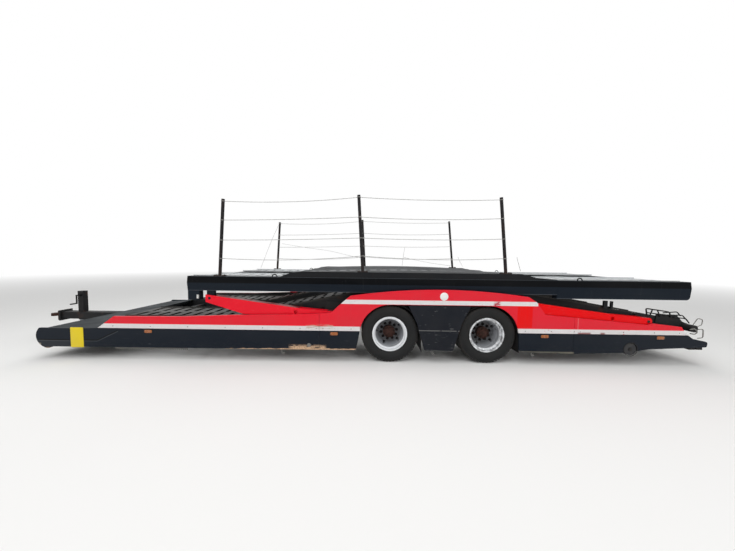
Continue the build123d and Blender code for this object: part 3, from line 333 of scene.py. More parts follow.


# Dark skirts: a pressed line low on the nose with painted shade in it and a painted
# highlight under it, a cream worn nose edge, tan scraped steel along the foot, pale
# dust and level swipes.
def skirtFinish(w):
    f = Finish("skirtPaint", Coat_Roughness=0.2, Specular_IOR_Level=0.10)
    dust = f.noise(2.1, 5, (0.7, 1, 1.6)).ramp(0.35, 0.75)
    splash = 1 - f.z.ramp(*w["splash"])
    fine = f.noise(55, 4, (0.4, 1, 1)).ramp(0.5, 0.8)
    colour = f.mix(dust * 0.05 + splash * 0.10 * fine, w["paint"], paint["dust"])
    lineZ = (f.x - (axleX + w["grooveBend"])).larger(0) * w["grooveSlope"] + w["grooveZ"]
    fadeFrom, fadeTo = (axleX + x for x in w["noseFade"])
    below = (f.z < w["grooveZ"]) * (1 - f.x.ramp(fadeFrom, fadeTo))
    colour = f.mix(below * 0.12, colour, w["paleNose"])
    pressed = f.x < axleX + w["grooveEnd"]
    half = w["grooveHalf"]
    # painted shade in the pressed line and a painted highlight on the lip under it
    groove = ((f.z - lineZ).size() < half) * pressed
    lip = ((f.z - lineZ + half * 2).size() < half) * pressed
    colour = f.mix(groove * 0.95, colour, w["groove"])
    colour = f.mix(lip * 0.25, colour, w["lip"])
    swipes = f.noise(20, 2, (0.22, 1, 5)).ramp(0.68, 0.77) * (f.noise(1.6, 1) > 0.55)
    colour = f.mix(swipes * 0.12, colour, w["swipe"])
    rough = f.noise(30, 4, (0.5, 1, 1.4))
    metal = f.mix(f.noise(60, 3).ramp(0.48, 0.72), paint["tanSteel"], paint["rust"])
    scrape = f.area(*w["scrape"], 0.02) * (rough > 0.42)
    runFrom, runTo = (axleX + x for x in w["tanRun"])
    tanTop = w["tanTop"] - f.x.ramp(runFrom, runTo) * w["tanDrop"]
    foot = f.area(*w["tanFoot"], 0.004) * (f.z + rough * 0.034 < tanTop)
    rearFoot = f.area(*w["rearFoot"], 0.003) * (rough > 0.40)
    ahead = f.x + rough * 0.03 < axleX + w["noseX"]
    nose = ahead * (f.z < w["noseTop"]) * (rough > 0.44)
    edge = (f.z + rough * 0.02 < w["edgeTop"]) * (f.noise(9, 3) > 0.50)
    colour = f.mix((scrape * 0.9 + foot + edge * 0.4).smaller(1), colour, metal)
    colour = f.mix(rearFoot * 0.6, colour, w["dullFoot"])
    colour = f.mix(nose * 0.6, colour, w["creamEdge"])
    f.relief(f.noise(150, 2) * 0.3 + f.noise(1.4, 1) * 2.5 - groove * 2, 0.14, 0.004)
    coat = 0.06 - splash * 0.05
    return f.done(Base_Color=colour, Roughness=0.42 + dust * 0.25, Coat_Weight=coat)


spatWear = {
    "paint": (0.0065, 0.0085, 0.0135),
    "line": (0.443, 0.4505),
    "footTop": 0.186,
    "scratch": (0.24, 0.24, 0.23),
}


# The wheel spat is smooth black with a scratched level line and a worn foot.
def spatFinish(w):
    f = Finish("spatPaint", Coat_Roughness=0.15, Specular_IOR_Level=0.12)
    dust = f.noise(3.2, 5).ramp(0.4, 0.75)
    line = f.z.between(*w["line"], 0.001) * (f.noise(25, 2) > 0.33)
    scratches = f.noise(26, 3, (0.4, 1, 2.8)).ramp(0.62, 0.68) * (f.noise(2.4, 1) > 0.45)
    foot = f.z + f.noise(24, 3) * 0.02 < w["footTop"]
    worn = (line * 0.8 + scratches * 0.35 + foot * 0.5).smaller(1)
    colour = f.mix(dust * 0.05, w["paint"], paint["dust"])
    colour = f.mix(worn, colour, w["scratch"])
    f.relief(f.noise(140, 2) - line * 3, 0.12, 0.001)
    return f.done(Base_Color=colour, Roughness=0.38 + dust * 0.3, Coat_Weight=0.06)


beamWear = {
    # one paint on both facets: the upper in painted shade, the lower in painted light
    "upper": (0.0012, 0.0016, 0.0026),
    "lower": (0.0100, 0.0145, 0.0215),
    "facetBelowTop": 0.089,
    # the beam's foot ahead of and behind this x, and the painted highlight line along it
    "footX": 2.225,
    "footAhead": 0.943,
    "footBehind": 0.892,
    "line": 0.006,
    "lineFromY": 1.1,
    # painted highlight along the deck's top edge
    "rim": (-0.006, 0.004),    # from and to about the deck's top
    # colour of the painted highlights on the rim and foot line
    "edge": (0.17, 0.19, 0.215),
    "dust": (0.22, 0.22, 0.21),
    "chip": (0.35, 0.35, 0.34),
}


# Deck side beams in one paint: a black upper facet in painted shade, a blue-black lower one in
# painted light, and a pale rim and foot line that are painted highlights.
def beamFinish(w):
    f = Finish("deckBeamPaint", Coat_Roughness=0.15, Specular_IOR_Level=0.05)
    # painted shade on the upper facet, painted light on the lower one
    facetZ = deckTop - w["facetBelowTop"]
    lowerFacet = 1 - f.z.ramp(facetZ - 0.004, facetZ + 0.004)
    colour = f.mix(lowerFacet, w["upper"], w["lower"])
    behind = f.x > axleX + w["footX"]
    footZ = behind * (w["footBehind"] - w["footAhead"]) + w["footAhead"]
    # painted highlight lines along the beam's foot and its top rim
    half = w["line"] / 2
    line = ((f.z - footZ - half).size() < half) * (f.y.size() > w["lineFromY"])
    rim = f.z.between(*(deckTop + z for z in w["rim"]))
    rim = rim * (0.4 + f.noise(12, 3, (0.3, 1, 1)) * 0.5)
    colour = f.mix((line * 0.35 + rim * 0.30).smaller(1), colour, w["edge"])
    dust = f.noise(1.8, 5, (0.5, 1, 2)).ramp(0.45, 0.8)
    runs = f.noise(9, 2, (3.0, 1, 0.12)).ramp(0.62, 0.72) * (f.noise(0.9, 1) > 0.55)
    colour = f.mix(dust * 0.03 + runs * 0.05, colour, w["dust"])
    chips = f.cells(60).ramp(0.09, 0.05) * (f.noise(5, 2) > 0.62)
    colour = f.mix(chips * 0.4, colour, w["chip"])
    f.relief(f.noise(130, 2) * 0.3 + f.noise(0.9, 1) * 3, 0.10, 0.004)
    return f.done(Base_Color=colour, Roughness=0.40 + dust * 0.3)


# Painted steel under road dust, with rust patches.
def darkSteelFinish(name, colour, dusty, gloss=0.2, rusty=0.3):
    f = Finish(name, Specular_IOR_Level=gloss)
    dust = f.noise(3.0, 5).ramp(0.38, 0.75)
    rust = f.noise(7, 5, shift=(3, 1, 2)).ramp(0.62, 0.74)
    mixed = f.mix(dust * dusty, colour, paint["dust"])
    mixed = f.mix(rust * rusty, mixed, paint["rust"])
    f.relief(f.noise(90, 3), 0.2, 0.002)
    return f.done(Base_Color=mixed, Roughness=0.52 + dust * 0.25)


# Zinc: cell-like spangle, dull worn patches and brown run-off.
def zincFinish(name, base, dark):
    f = Finish(name, Metallic=0.35, Specular_IOR_Level=0.4)
    tone = f.node("RGBToBW", {}, {"Color": f.cells(55, 1)})
    colour = f.mix(tone * 0.5, base, tuple(value * 0.72 for value in base))
    worn = f.noise(3.4, 5, (0.7, 1, 1)).ramp(0.45, 0.72)
    colour = f.mix(worn * dark, colour, (0.075, 0.072, 0.068))
    rust = f.noise(8, 4, shift=(5, 0, 0)).ramp(0.63, 0.72)
    colour = f.mix(rust * 0.45, colour, paint["rust"])
    f.relief(f.noise(70, 3), 0.2, 0.0015)
    return f.done(Base_Color=colour, Roughness=0.46 + worn * 0.2)


# Walkway plate: small pressed studs in staggered rows, polished by tyres.
def trackFinish(name, base, dark, pitch=0.030, metal=0.35):
    f = Finish(name, Metallic=metal, Specular_IOR_Level=0.35)
    scaled = f.moved((1 / pitch, 1 / pitch, 0))
    u, v = (f.node("SeparateXYZ", {}, {0: scaled}, out) for out in (0, 1))
    u = u + v.maths("FLOOR", v) * 0.5
    du = u.maths("FRACT", u) - 0.5
    dv = v.maths("FRACT", v) - 0.5
    stud = 1 - ((du * du + dv * dv) ** 0.5).ramp(0.20, 0.34)
    worn = f.noise(3.1, 5, (0.7, 1, 1)).ramp(0.42, 0.72)
    colour = f.mix(worn * dark, base, tuple(value * 0.25 for value in base))
    up = f.upward()
    colour = f.mix(stud * up * 0.5, colour, tuple(min(value * 1.5, 0.7) for value in base))
    rust = f.noise(8, 4, shift=(5, 0, 0)).ramp(0.66, 0.76)
    colour = f.mix(rust * 0.4, colour, paint["rust"])
    f.relief(stud * up, 0.5, 0.003)
    return f.done(Base_Color=colour, Roughness=0.46 + worn * 0.2)


postWear = {
    "steel": (0.0085, 0.0075, 0.0085),
    "rust": (0.055, 0.030, 0.022),
    "bare": (0.16, 0.14, 0.13),
    "rustyFoot": (0.03, 0.25),         # from and to above the deck
}


# Dark posts, rusty at the foot, with bare worn spots.
def postFinish(w):
    f = Finish("postSteel", Specular_IOR_Level=0.2)
    foot = 1 - f.z.ramp(*(deckTop + z for z in w["rustyFoot"]))
    rust = f.noise(9, 5, (1, 1, 0.4)).ramp(0.50, 0.70)
    colour = f.mix((rust * 0.30 + foot * 0.30).smaller(1), w["steel"], w["rust"])
    bare = f.noise(24, 3, (1, 1, 0.3)).ramp(0.68, 0.76)
    colour = f.mix(bare * 0.35, colour, w["bare"])
    f.relief(f.noise(80, 4), 0.3, 0.002)
    return f.done(Base_Color=colour, Roughness=0.58 + rust * 0.15)


# Distance from the nearer wheel's axle, for finishes that change with radius.
def wheelRadius(f):
    height = f.z - wheelZ
    front = f.x - axleX
    rear = front - axleSpacing
    nearer = (front * front).smaller(rear * rear)
    return (nearer + height * height) ** 0.5


tyreWear = {
    "rubber": (0.0095, 0.0100, 0.0105),
    "dust": (0.062, 0.058, 0.052),
    "treadFrom": (0.350, 0.372),
    "fineRings": 900,
}


# Rubber: dusty, paler on the tread, with fine rings on the sidewalls.
def tyreFinish(w):
    f = Finish("tyreRubber", Specular_IOR_Level=0.22)
    radius = wheelRadius(f)
    dust = f.noise(6, 5).ramp(0.35, 0.75)
    tread = radius.ramp(*w["treadFrom"])
    colour = f.mix(tread * 0.30 + dust * 0.16, w["rubber"], w["dust"])
    worn = f.noise(45, 3) * 0.6 + radius.wave(w["fineRings"]) * 0.15
    f.relief(worn, 0.25, 0.0012)
    return f.done(Base_Color=colour, Roughness=0.66 + dust * 0.15)


rimWear = {
    # radii over which one zone turns into the next
    "hubEdge": (0.084, 0.088),
    "barrelEdge": (0.150, 0.190),
    "flangeEdge": (0.190, 0.198),
    "disc": (0.135, 0.14, 0.15),
    "dirtyDisc": (0.060, 0.055, 0.052),
    "barrel": (0.27, 0.28, 0.30),
    "flange": (0.74, 0.76, 0.78),
    "scraped": (0.22, 0.225, 0.235),
    "soot": (0.05, 0.045, 0.04),
}


# Rims: bright flange, grey disc with brake dust, rusty hub; the rear pair is
# scraped bare.
def rimFinish(w):
    f = Finish("rimPaint", Specular_IOR_Level=0.25)
    radius = wheelRadius(f)
    rear = f.x > axleX + axleSpacing / 2
    ring = radius.ramp(*w["flangeEdge"])
    hub = 1 - radius.ramp(*w["hubEdge"])
    dust = f.noise(13, 5).ramp(0.35, 0.72)
    scraped = rear * f.noise(24, 4).ramp(0.40, 0.58) * ring
    disc = f.mix(dust * 0.5, w["disc"], w["dirtyDisc"])
    barrel = f.mix(radius.ramp(*w["barrelEdge"]), disc, w["barrel"])
    colour = f.mix(ring, barrel, w["flange"])
    colour = f.mix(scraped * 0.65, colour, w["scraped"])
    soot = f.noise(34, 4, shift=(4, 0, 0)).ramp(0.55, 0.7) * ring * rear
    colour = f.mix(soot * 0.5, colour, w["soot"])
    colour = f.mix(hub, colour, f.mix(dust, paint["freshRust"], paint["deepRust"]))
    f.relief(f.noise(70, 3), 0.2, 0.0012)
    return f.done(Base_Color=colour, Roughness=0.42 + dust * 0.2, Metallic=scraped * 0.5)


# Bare steel that has rusted: patches of a fresh and a deep shade.
def rustFinish(name, fresh, deep):
    f = Finish(name, Specular_IOR_Level=0.2)
    patches = f.noise(28, 5).ramp(0.35, 0.65)
    f.relief(f.noise(150, 4), 0.4, 0.0015)
    return f.done(Base_Color=f.mix(patches, fresh, deep), Roughness=0.72 + patches * 0.1)


# One colour with dusty marks; gloss is the specular level.
def plainFinish(name, colour, roughness, speckle, scale=18, gloss=0.5, **constants):
    f = Finish(name, Specular_IOR_Level=gloss, **constants)
    marks = f.noise(scale, 4).ramp(0.4, 0.75)
    mixed = f.mix(marks * speckle, colour, paint["dust"])
    f.relief(f.noise(scale * 6, 2), 0.12, 0.001)
    return f.done(Base_Color=mixed, Roughness=roughness + marks * 0.12)


# Lamp lenses: fine upright ribs behind a glossy skin. Lamps with zones are the
# tail's, so their ribs and zones go by Y, on the sides and nose by X.
def lensFinish(name, colour, zones=(), ribRate=900):
    f = Finish(name, Coat_Weight=0.5, Coat_Roughness=0.05, IOR=1.49)
    way = f.y.size() if zones else f.x
    ribs = way.wave(ribRate)
    shown = colour
    for low, high, other in zones:
        shown = f.mix(way.between(low, high, 0.001), shown, other)
    grime = f.noise(30, 3).ramp(0.45, 0.75)
    mixed = f.mix(ribs.ramp(-0.2, 0.9) * 0.35, shown, f.mix(0.55, shown, (0, 0, 0)))
    mixed = f.mix(grime * 0.15, mixed, paint["dust"])
    f.relief(ribs, 0.3, 0.001)
    return f.done(Base_Color=mixed, Roughness=0.20 + grime * 0.2)


# A blank plate: plain field inside a darker pressed border.
def blankPlateFinish(name, field, border, low, high, edge=0.008):
    f = Finish(name, Specular_IOR_Level=0.4)
    inside = f.y.between(low[1] + edge, high[1] - edge)
    inside = inside * f.z.between(low[2] + edge, high[2] - edge)
    grime = f.noise(20, 4).ramp(0.45, 0.8)
    colour = f.mix(grime * 0.2, f.mix(inside, border, field), paint["dust"])
    f.relief(inside * 2 + f.noise(90, 2) * 0.2, 0.3, 0.001)
    return f.done(Base_Color=colour, Roughness=0.35 + grime * 0.2)


# reversing and turning lamps of the tail: out from, out to, colour
lampZones = (
    (0.76, 0.86, (0.62, 0.62, 0.60)),
    (0.86, 0.96, (0.50, 0.15, 0.012)),
)
finishes = {
    "redPanel": redPanelFinish(panelWear),
    "redArm": redArmFinish(armWear),
    "skirt": skirtFinish(skirtWear),
    "spat": spatFinish(spatWear),
    "beam": beamFinish(beamWear),
    "chassis": darkSteelFinish("chassisSteel", (0.007, 0.0075, 0.009), 0.12),
    "noseDeck": darkSteelFinish("noseDeckPaint", (0.0115, 0.0165, 0.0205), 0.10, 0.12, 0.08),
    "tailDeck": darkSteelFinish("tailDeckPaint", (0.012, 0.014, 0.018), 0.20),
    "underSteel": darkSteelFinish("underbodySteel", (0.012, 0.0115, 0.011), 0.25),
    "zinc": zincFinish("zincSteel", (0.33, 0.345, 0.36), 0.45),
    "deckPlate": trackFinish("deckPlateSteel", (0.50, 0.52, 0.53), 0.30),
    "humpPlate": trackFinish("humpPlateSteel", (0.19, 0.195, 0.20), 0.30),
    "lowerPlate": trackFinish("lowerPlateSteel", (0.024, 0.0225, 0.020), 0.5, metal=0.15),
    "step": darkSteelFinish("stepPaint", (0.0045, 0.0055, 0.0075), 0.06, 0.15, 0.1),
    "post": postFinish(postWear),
    "tyre": tyreFinish(tyreWear),
    "rim": rimFinish(rimWear),
    "hubRust": rustFinish("hubRust", paint["freshRust"], paint["deepRust"]),
    "nutSteel": rustFinish("nutSteel", (0.016, 0.013, 0.012), (0.006, 0.005, 0.005)),
    "brightNut": rustFinish("brightNut", (0.16, 0.15, 0.14), (0.05, 0.045, 0.04)),
    "rod": plainFinish("rodChrome", (0.55, 0.56, 0.58), 0.16, 0.05, Metallic=1.0),
    "barrel": plainFinish("barrelPaint", (0.010, 0.011, 0.012), 0.36, 0.12, Coat_Weight=0.2),
    "plastic": plainFinish("guardPlastic", (0.0075, 0.0075, 0.008), 0.55, 0.10, 5, 0.2),
    "bag": plainFinish("bagRubber", (0.009, 0.009, 0.010), 0.62, 0.18, 8, 0.25),
    "roller": plainFinish("rollerRubber", (0.030, 0.031, 0.034), 0.60, 0.22, 20, 0.25),
    "wire": plainFinish("wireRope", (0.42, 0.42, 0.41), 0.45, 0.25, 40, Metallic=0.4),
    "scuffedSteel": zincFinish("scuffedSteel", (0.24, 0.235, 0.22), 0.5),
    "amber": lensFinish("amberLens", (0.36, 0.095, 0.008)),
    "redLens": lensFinish("redLens", (0.42, 0.008, 0.008), lampZones),
    "clearLens": lensFinish("clearLens", (0.66, 0.66, 0.64)),
    "yellow": plainFinish("yellowPlate", (0.76, 0.58, 0.002), 0.40, 0.0, 10),
    "whiteDisc": plainFinish("whiteDisc", (0.84, 0.83, 0.81), 0.40, 0.03, 12),
    "plate": blankPlateFinish(
        "platePaint", (0.68, 0.68, 0.64), (0.05, 0.05, 0.05), *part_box("number_plate")
    ),
}
# CAD nodes by finish; wheels and tyres go by their names, the rest is chassis steel
nodesByFinish = {
    "redPanel": ("side_panels", "wheel_arch_panels"),
    "redArm": ("front_arms", "rear_arms"),
    "skirt": ("front_skirts", "rear_skirts"),
    "spat": ("wheel_spats",),
    "beam": ("deck_side_beams",),
    "step": ("deck_step_boards",),
    "noseDeck": ("nose_plate",),
    "lowerPlate": ("lower_tracks",),
    "tailDeck": ("tail_plate",),
    "deckPlate": ("deck_flat_tracks",),
    "humpPlate": ("deck_hump_tracks",),
    "zinc": ("loading_ramps", "jack_leg"),
    "post": ("rail_posts",),
    "barrel": ("front_lift_barrels", "rear_lift_barrels"),
    "rod": ("front_lift_rods", "rear_lift_rods"),
    "plastic": ("mudguards",),
    "bag": ("air_springs",),
    "roller": ("left_skid_roller", "right_skid_roller"),
    "amber": ("side_markers",),
    "redLens": ("tail_lamps",),
    "clearLens": ("front_marker_lamps",),
    "plate": ("number_plate",),
    "hubRust": ("coupling_eye",),
    "underSteel": ("axles", "trailing_arms"),
}
nodeFinish = {name: finish for finish, names in nodesByFinish.items() for name in names}
for name, node in nodes.items():
    chosen = nodeFinish.get(name, "chassis")
    if name.endswith("_wheel"):
        chosen = "rim"
    if name.endswith("_tyres"):
        chosen = "tyre"
    for slot in node.material_slots:
        slot.material = finishes[chosen]
print("materials done", len(finishes))


# A shape is its points and groups of faces. This one is a grid of points, given
# as (copies, rows, columns, 3), with quads between neighbours: columns close into
# a ring, rows where asked.
def gridShape(points, closeRows=False):
    points = np.asarray(points, dtype=float)
    if points.ndim == 3:
        points = points[None]
    copies, rows, columns, _ = points.shape
    i = np.arange(rows if closeRows else rows - 1)
    i, j = (part.ravel() for part in np.meshgrid(i, np.arange(columns), indexing="ij"))
    down, right = (i + 1) % rows, (j + 1) % columns
    one = np.stack(
        [i * columns + j, i * columns + right, down * columns + right, down * columns + j], axis=1
    )
    start = (np.arange(copies) * rows * columns)[:, None, None]
    return points.reshape(-1, 3), [(one[None] + start).reshape(-1, 4)]


# Puts shapes into one mesh, merges doubled points, turns every face outwards and
# makes the piece ride on its body.
def addPiece(name, shapes, finish, body, sharp=40, bevel=0.0):
    shapes = shapes if isinstance(shapes, list) else [shapes]
    counts = [len(points) for points, _ in shapes]
    starts = np.cumsum([0] + counts[:-1])
    faces = [
        row
        for (_, groups), start in zip(shapes, starts)
        for group in groups
        for row in (group + start).tolist()
    ]
    mesh = bpy.data.meshes.new(name)
    mesh.from_pydata(np.concatenate([points for points, _ in shapes]), [], faces)
    tool = bmesh.new()
    tool.from_mesh(mesh)
    bmesh.ops.remove_doubles(tool, verts=tool.verts, dist=2e-5)
    bmesh.ops.dissolve_degenerate(tool, edges=tool.edges, dist=1e-6)
    bmesh.ops.recalc_face_normals(tool, faces=tool.faces)
    tool.to_mesh(mesh)
    tool.free()
    mesh.materials.append(finishes[finish])
    mesh.shade_smooth()
    mesh.set_sharp_from_angle(angle=math.radians(sharp))
    piece = bpy.data.objects.new(name, mesh)
    bpy.context.scene.collection.objects.link(piece)
    if bevel:
        softened = piece.modifiers.new("softEdges", "BEVEL")
        softened.width, softened.segments = bevel, 2
    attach(piece, body)
    return piece


# Turned shapes, one at each centre: a profile point (out, radius) becomes a ring,
# centre + out * axis + radius * (cos, sin) in the plane across the axis.
def turned(centres, axis, profile, steps, ringClosed=False, turn=0.0):
    centres = np.atleast_2d(np.asarray(centres, dtype=float))
    axis = np.asarray(axis, dtype=float) / np.linalg.norm(axis)
    helper = np.array([1.0, 0, 0]) if abs(axis[0]) < 0.8 else np.array([0, 0, 1.0])
    first = helper - axis * (helper @ axis)
    first /= np.linalg.norm(first)
    second = np.cross(axis, first)
    out, radius = np.asarray(profile, dtype=float).T
    angle = np.arange(steps) * 2 * np.pi / steps + turn
    ring = np.cos(angle)[:, None] * first + np.sin(angle)[:, None] * second
    rings = out[:, None, None] * axis + radius[:, None, None] * ring[None]
    return gridShape(centres[:, None, None] + rings[None], ringClosed)


# A round tube along a path, ends closed: each ring is the path point plus radius
# times (cos, sin) in the plane across the path's direction there.
def tube(path, radius, steps=8):
    path = np.asarray(path, dtype=float)
    along = np.gradient(path, axis=0)
    along /= np.linalg.norm(along, axis=1)[:, None]
    helper = np.array([0, 1.0, 0]) if np.abs(along[:, 1]).max() < 0.9 else np.array([1.0, 0, 0])
    first = np.cross(along, helper)
    first /= np.linalg.norm(first, axis=1)[:, None]
    second = np.cross(along, first)
    angle = np.arange(steps) * 2 * np.pi / steps
    ring = np.cos(angle)[:, None] * first[:, None] + np.sin(angle)[:, None] * second[:, None]
    rows = path[:, None] + ring * radius
    ends = [np.repeat(path[end][None, None], steps, axis=1) for end in (0, -1)]
    return gridShape(np.concatenate([ends[0], rows, ends[1]]))


# A smooth path through points: each span is the cubic whose slopes at its ends
# are half the chord between the neighbouring points.
def smoothPath(points, samples):
    p = np.asarray(points, dtype=float)
    p = np.concatenate([[2 * p[0] - p[1]], p, [2 * p[-1] - p[-2]]])
    t = np.linspace(0, 1, samples, endpoint=False)[None, :, None]
    a, b, c, d = p[:-3, None], p[1:-2, None], p[2:-1, None], p[3:, None]
    bend = (2 * a - 5 * b + 4 * c - d) * t ** 2 + (3 * b - a - 3 * c + d) * t ** 3
    spans = 0.5 * (2 * b + (c - a) * t + bend)
    return np.concatenate([spans.reshape(-1, 3), p[-2:-1]])


# Side-view points, x behind the front axle and z above the ground, set at one Y.
def atSide(points, y):
    return np.array([(x + axleX, y, z) for x, z in points])


# A plate: a side-view outline at two Y values, its edge quads and two caps.
def plate(outline, y0, y1):
    near = atSide(outline, y0)
    far = near + np.array([0, y1 - y0, 0])
    points, groups = gridShape(np.stack([near, far]))
    caps = np.arange(len(near))[None]
    return points, groups + [caps, caps + len(near)]


# A box is a plate with four corners.
def box(x0, x1, y0, y1, z0, z1):
    return plate([(x0, z0), (x1, z0), (x1, z1), (x0, z1)], y0, y1)


# A rounded pad on a side's outer face: rings of a superellipse,
# |x|^power + |z|^power = 1, scaled and set out by the profile's (scale, out) pairs.
def pad(x, z, side, half, profile, power=5.0, steps=40):
    angle = np.arange(steps) * 2 * np.pi / steps
    across = np.sign(np.cos(angle)) * np.abs(np.cos(angle)) ** (2 / power)
    up = np.sign(np.sin(angle)) * np.abs(np.sin(angle)) ** (2 / power)
    scale, out = np.asarray(profile, dtype=float).T
    rows = np.stack(
        [
            x + axleX + half[0] * scale[:, None] * across,
            np.broadcast_to(side * (sideY + out)[:, None], (len(scale), steps)),
            z + half[1] * scale[:, None] * up,
        ],
        axis=-1,
    )
    return gridShape(rows)


# Points round a wheel's axle: centre + radius * (cos, sin) in the side view.
def ringPlaces(centre, radius, count, turn):
    angle = np.arange(count) * 2 * np.pi / count + turn
    flat = np.stack([np.cos(angle), np.zeros(count), np.sin(angle)], axis=1)
    return np.asarray(centre) + flat * radius


# Profile of a bolt, nut or washer: straight from its foot to its shoulder, then a
# chamfer to its flat top.
def headProfile(foot, shoulder, top, radius, topRadius):
    return [(foot, 0), (foot, radius), (shoulder, radius), (top, topRadius), (top, 0)]


tyre = {
    "width": 0.215,
    "spacing": 0.242,
    "beadRadius": 0.22225,
    "beadHalf": 0.0757,
    "flange": 0.0148,          # the rim's edge over the bead
    "bulgeRadius": 0.306,
    "treadHalf": 0.082,
    "shoulderHalf": 0.096,
    "shoulderDrop": 0.018,
    "crown": 0.003,
    "ringRate": 120,           # raised rings on the sidewalls
    "ringHeight": 0.0011,
    "grooves": (-0.052, -0.018, 0.018, 0.052),
    "grooveWidth": 0.008,
    "grooveDepth": 0.011,
    "blocks": 54,
    "blockDepth": 0.008,
    "wallPoints": 15,
    "treadPoints": 45,
    "steps": 216,
}


# One tyre: sidewalls are arcs from bead to shoulder with raised rings; the tread's
# radius drops by a smooth notch at each long groove and, past the outer grooves,
# by a square wave round the tyre.
def tyreShape(c, centre, middle):
    radius = wheelZ
    s = np.linspace(0, 1, c["wallPoints"])
    low, high = c["beadRadius"] + c["flange"], radius - c["shoulderDrop"]
    wallRadius = low + (high - low) * s
    swell = (c["bulgeRadius"] - low) / (high - low)
    ends = c["beadHalf"] * (1 - s) + c["shoulderHalf"] * s
    endsAtSwell = c["beadHalf"] * (1 - swell) + c["shoulderHalf"] * swell
    bow = (c["width"] / 2 - endsAtSwell) * s * (1 - s) / (swell * (1 - swell))
    rings = c["ringHeight"] * (np.abs(np.sin(wallRadius * c["ringRate"])) > 0.82)
    wallOut = ends + bow - 0.001 + rings * (s > 0.1) * (s < 0.9)
    across = np.linspace(-c["treadHalf"], c["treadHalf"], c["treadPoints"])
    treadRadius = radius - c["crown"] * (across / c["treadHalf"]) ** 2
    for groove in c["grooves"]:
        notch = np.clip(1.3 - np.abs(across - groove) / (c["grooveWidth"] / 2), 0, 1)
        treadRadius = treadRadius - c["grooveDepth"] * notch
    bead = c["beadRadius"]
    out = np.concatenate([[-c["beadHalf"]], -wallOut, across, wallOut[::-1], [c["beadHalf"]]])
    ring = np.concatenate([[bead], wallRadius, treadRadius, wallRadius[::-1], [bead]])
    angle = np.arange(c["steps"]) * 2 * np.pi / c["steps"]
    wave = (np.sin(angle * c["blocks"]) > 0.55)[:, None]
    edge = (np.abs(out) > c["grooves"][-1] + 0.006) & (ring > radius - 0.02)
    rise = ring[None] - c["blockDepth"] * wave * edge[None]
    x = centre[0] + np.cos(angle)[:, None] * rise
    z = centre[2] + np.sin(angle)[:, None] * rise
    y = np.broadcast_to(centre[1] + middle + out, x.shape)
    return gridShape(np.stack([x, y, z], axis=-1), True)


wheelDress = {
    "studRadius": 0.1125,
    "studCount": 10,
    "studTurn": 0.16,
    "capBoltRadius": 0.069,
    "capBoltCount": 8,
    "capBoltTurn": 0.3,
    # heads: foot, shoulder and top along the axle, then radius and top radius
    "nut": (0.013, 0.034, 0.037, 0.0165, 0.0135),
    "studEnd": (0.034, 0.048, 0.050, 0.009, 0.007),
    "washer": (0.0125, 0.017, 0.018, 0.021, 0.018),
    "capBolt": (0.075, 0.089, 0.090, 0.0065, 0.005),
    "cap": [(0.073, 0), (0.073, 0.079), (0.081, 0.079), (0.083, 0.075), (0.084, 0.057),
            (0.096, 0.055), (0.102, 0.047), (0.106, 0.034), (0.108, 0.018), (0.109, 0)],
    # valve stem: rearward, outward and up from the wheel's middle
    "valve": ((0.172, 0.045, 0.050), (0.176, 0.075, 0.052), (0.170, 0.105, 0.050)),
    "valveRadius": 0.0042,
}


# Nuts, stud ends and washers, hub cap with its bolts, and valve stem of one wheel.
def dressWheel(c, label, body, centre, side):
    axis = (0, side, 0)
    studs = ringPlaces(centre, c["studRadius"], c["studCount"], c["studTurn"])
    nuts = [
        turned(studs, axis, headProfile(*c[part]), steps)
        for part, steps in (("nut", 6), ("studEnd", 10), ("washer", 16))
    ]
    addPiece(label + "Nuts", nuts, "nutSteel", body)
    cap = turned(centre, axis, c["cap"], 48)
    addPiece(label + "HubCap", cap, "hubRust", body)
    bolts = ringPlaces(centre, c["capBoltRadius"], c["capBoltCount"], c["capBoltTurn"])
    heads = turned(bolts, axis, headProfile(*c["capBolt"]), 6)
    addPiece(label + "CapBolts", heads, "nutSteel", body)
    path = smoothPath(centre + np.array(c["valve"]) * (1, side, 1), 5)
    stem = tube(path, c["valveRadius"])
    addPiece(label + "ValveStem", stem, "brightNut", body)


for end in ("front", "rear"):
    for hand, side in sides:
        centre = middleOf(f"{end}_{hand}_tyres")
        body = f"{end}_{hand}_twins"
        label = end + hand.capitalize()
        treads = [tyreShape(tyre, centre, way * tyre["spacing"] / 2) for way in (-1, 1)]
        rubber = addPiece(label + "Tyres", treads, "tyre", body, 35)
        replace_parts(rubber, f"{end}_{hand}_tyres")
        dressWheel(wheelDress, label, body, centre, side)
print("wheels dressed")


railing = {
    # height of each wire rope at the three posts, and its sag in the two spans
    "ropes": (
        ((2.135, 2.207, 2.195), (0.034, 0.022)),
        ((1.886, 1.948, 1.950), (0.010, 0.024)),
        ((1.621, 1.671, 1.680), (0.008, 0.018)),
        ((1.376, 1.431, 1.420), (0.036, 0.032)),
    ),
    "radius": 0.0040,
    "samples": 24,
    # foot x and z, head x and z of each post
    "posts": (
        (-2.301, 1.158, -2.238, 2.162),
        (-0.375, 1.235, -0.438, 2.235),
        (1.550, 1.235, 1.448, 2.225),
    ),
    "postRadius": 0.0212,
    "footHalf": 0.034,         # from the feet's outer edge in to the posts' middle
    # clamp ring round a post: into its skin, out from it, half its height
    "clamp": (0.002, 0.003, 0.005),
}
postY = float(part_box("rail_posts")[1][1]) - railing["footHalf"]


# X of a leaning post's middle at a height, straight from its foot to its head.
def postX(post, z):
    footX, footZ, headX, headZ = post
    return footX + (headX - footX) * (z - footZ) / (headZ - footZ) + axleX


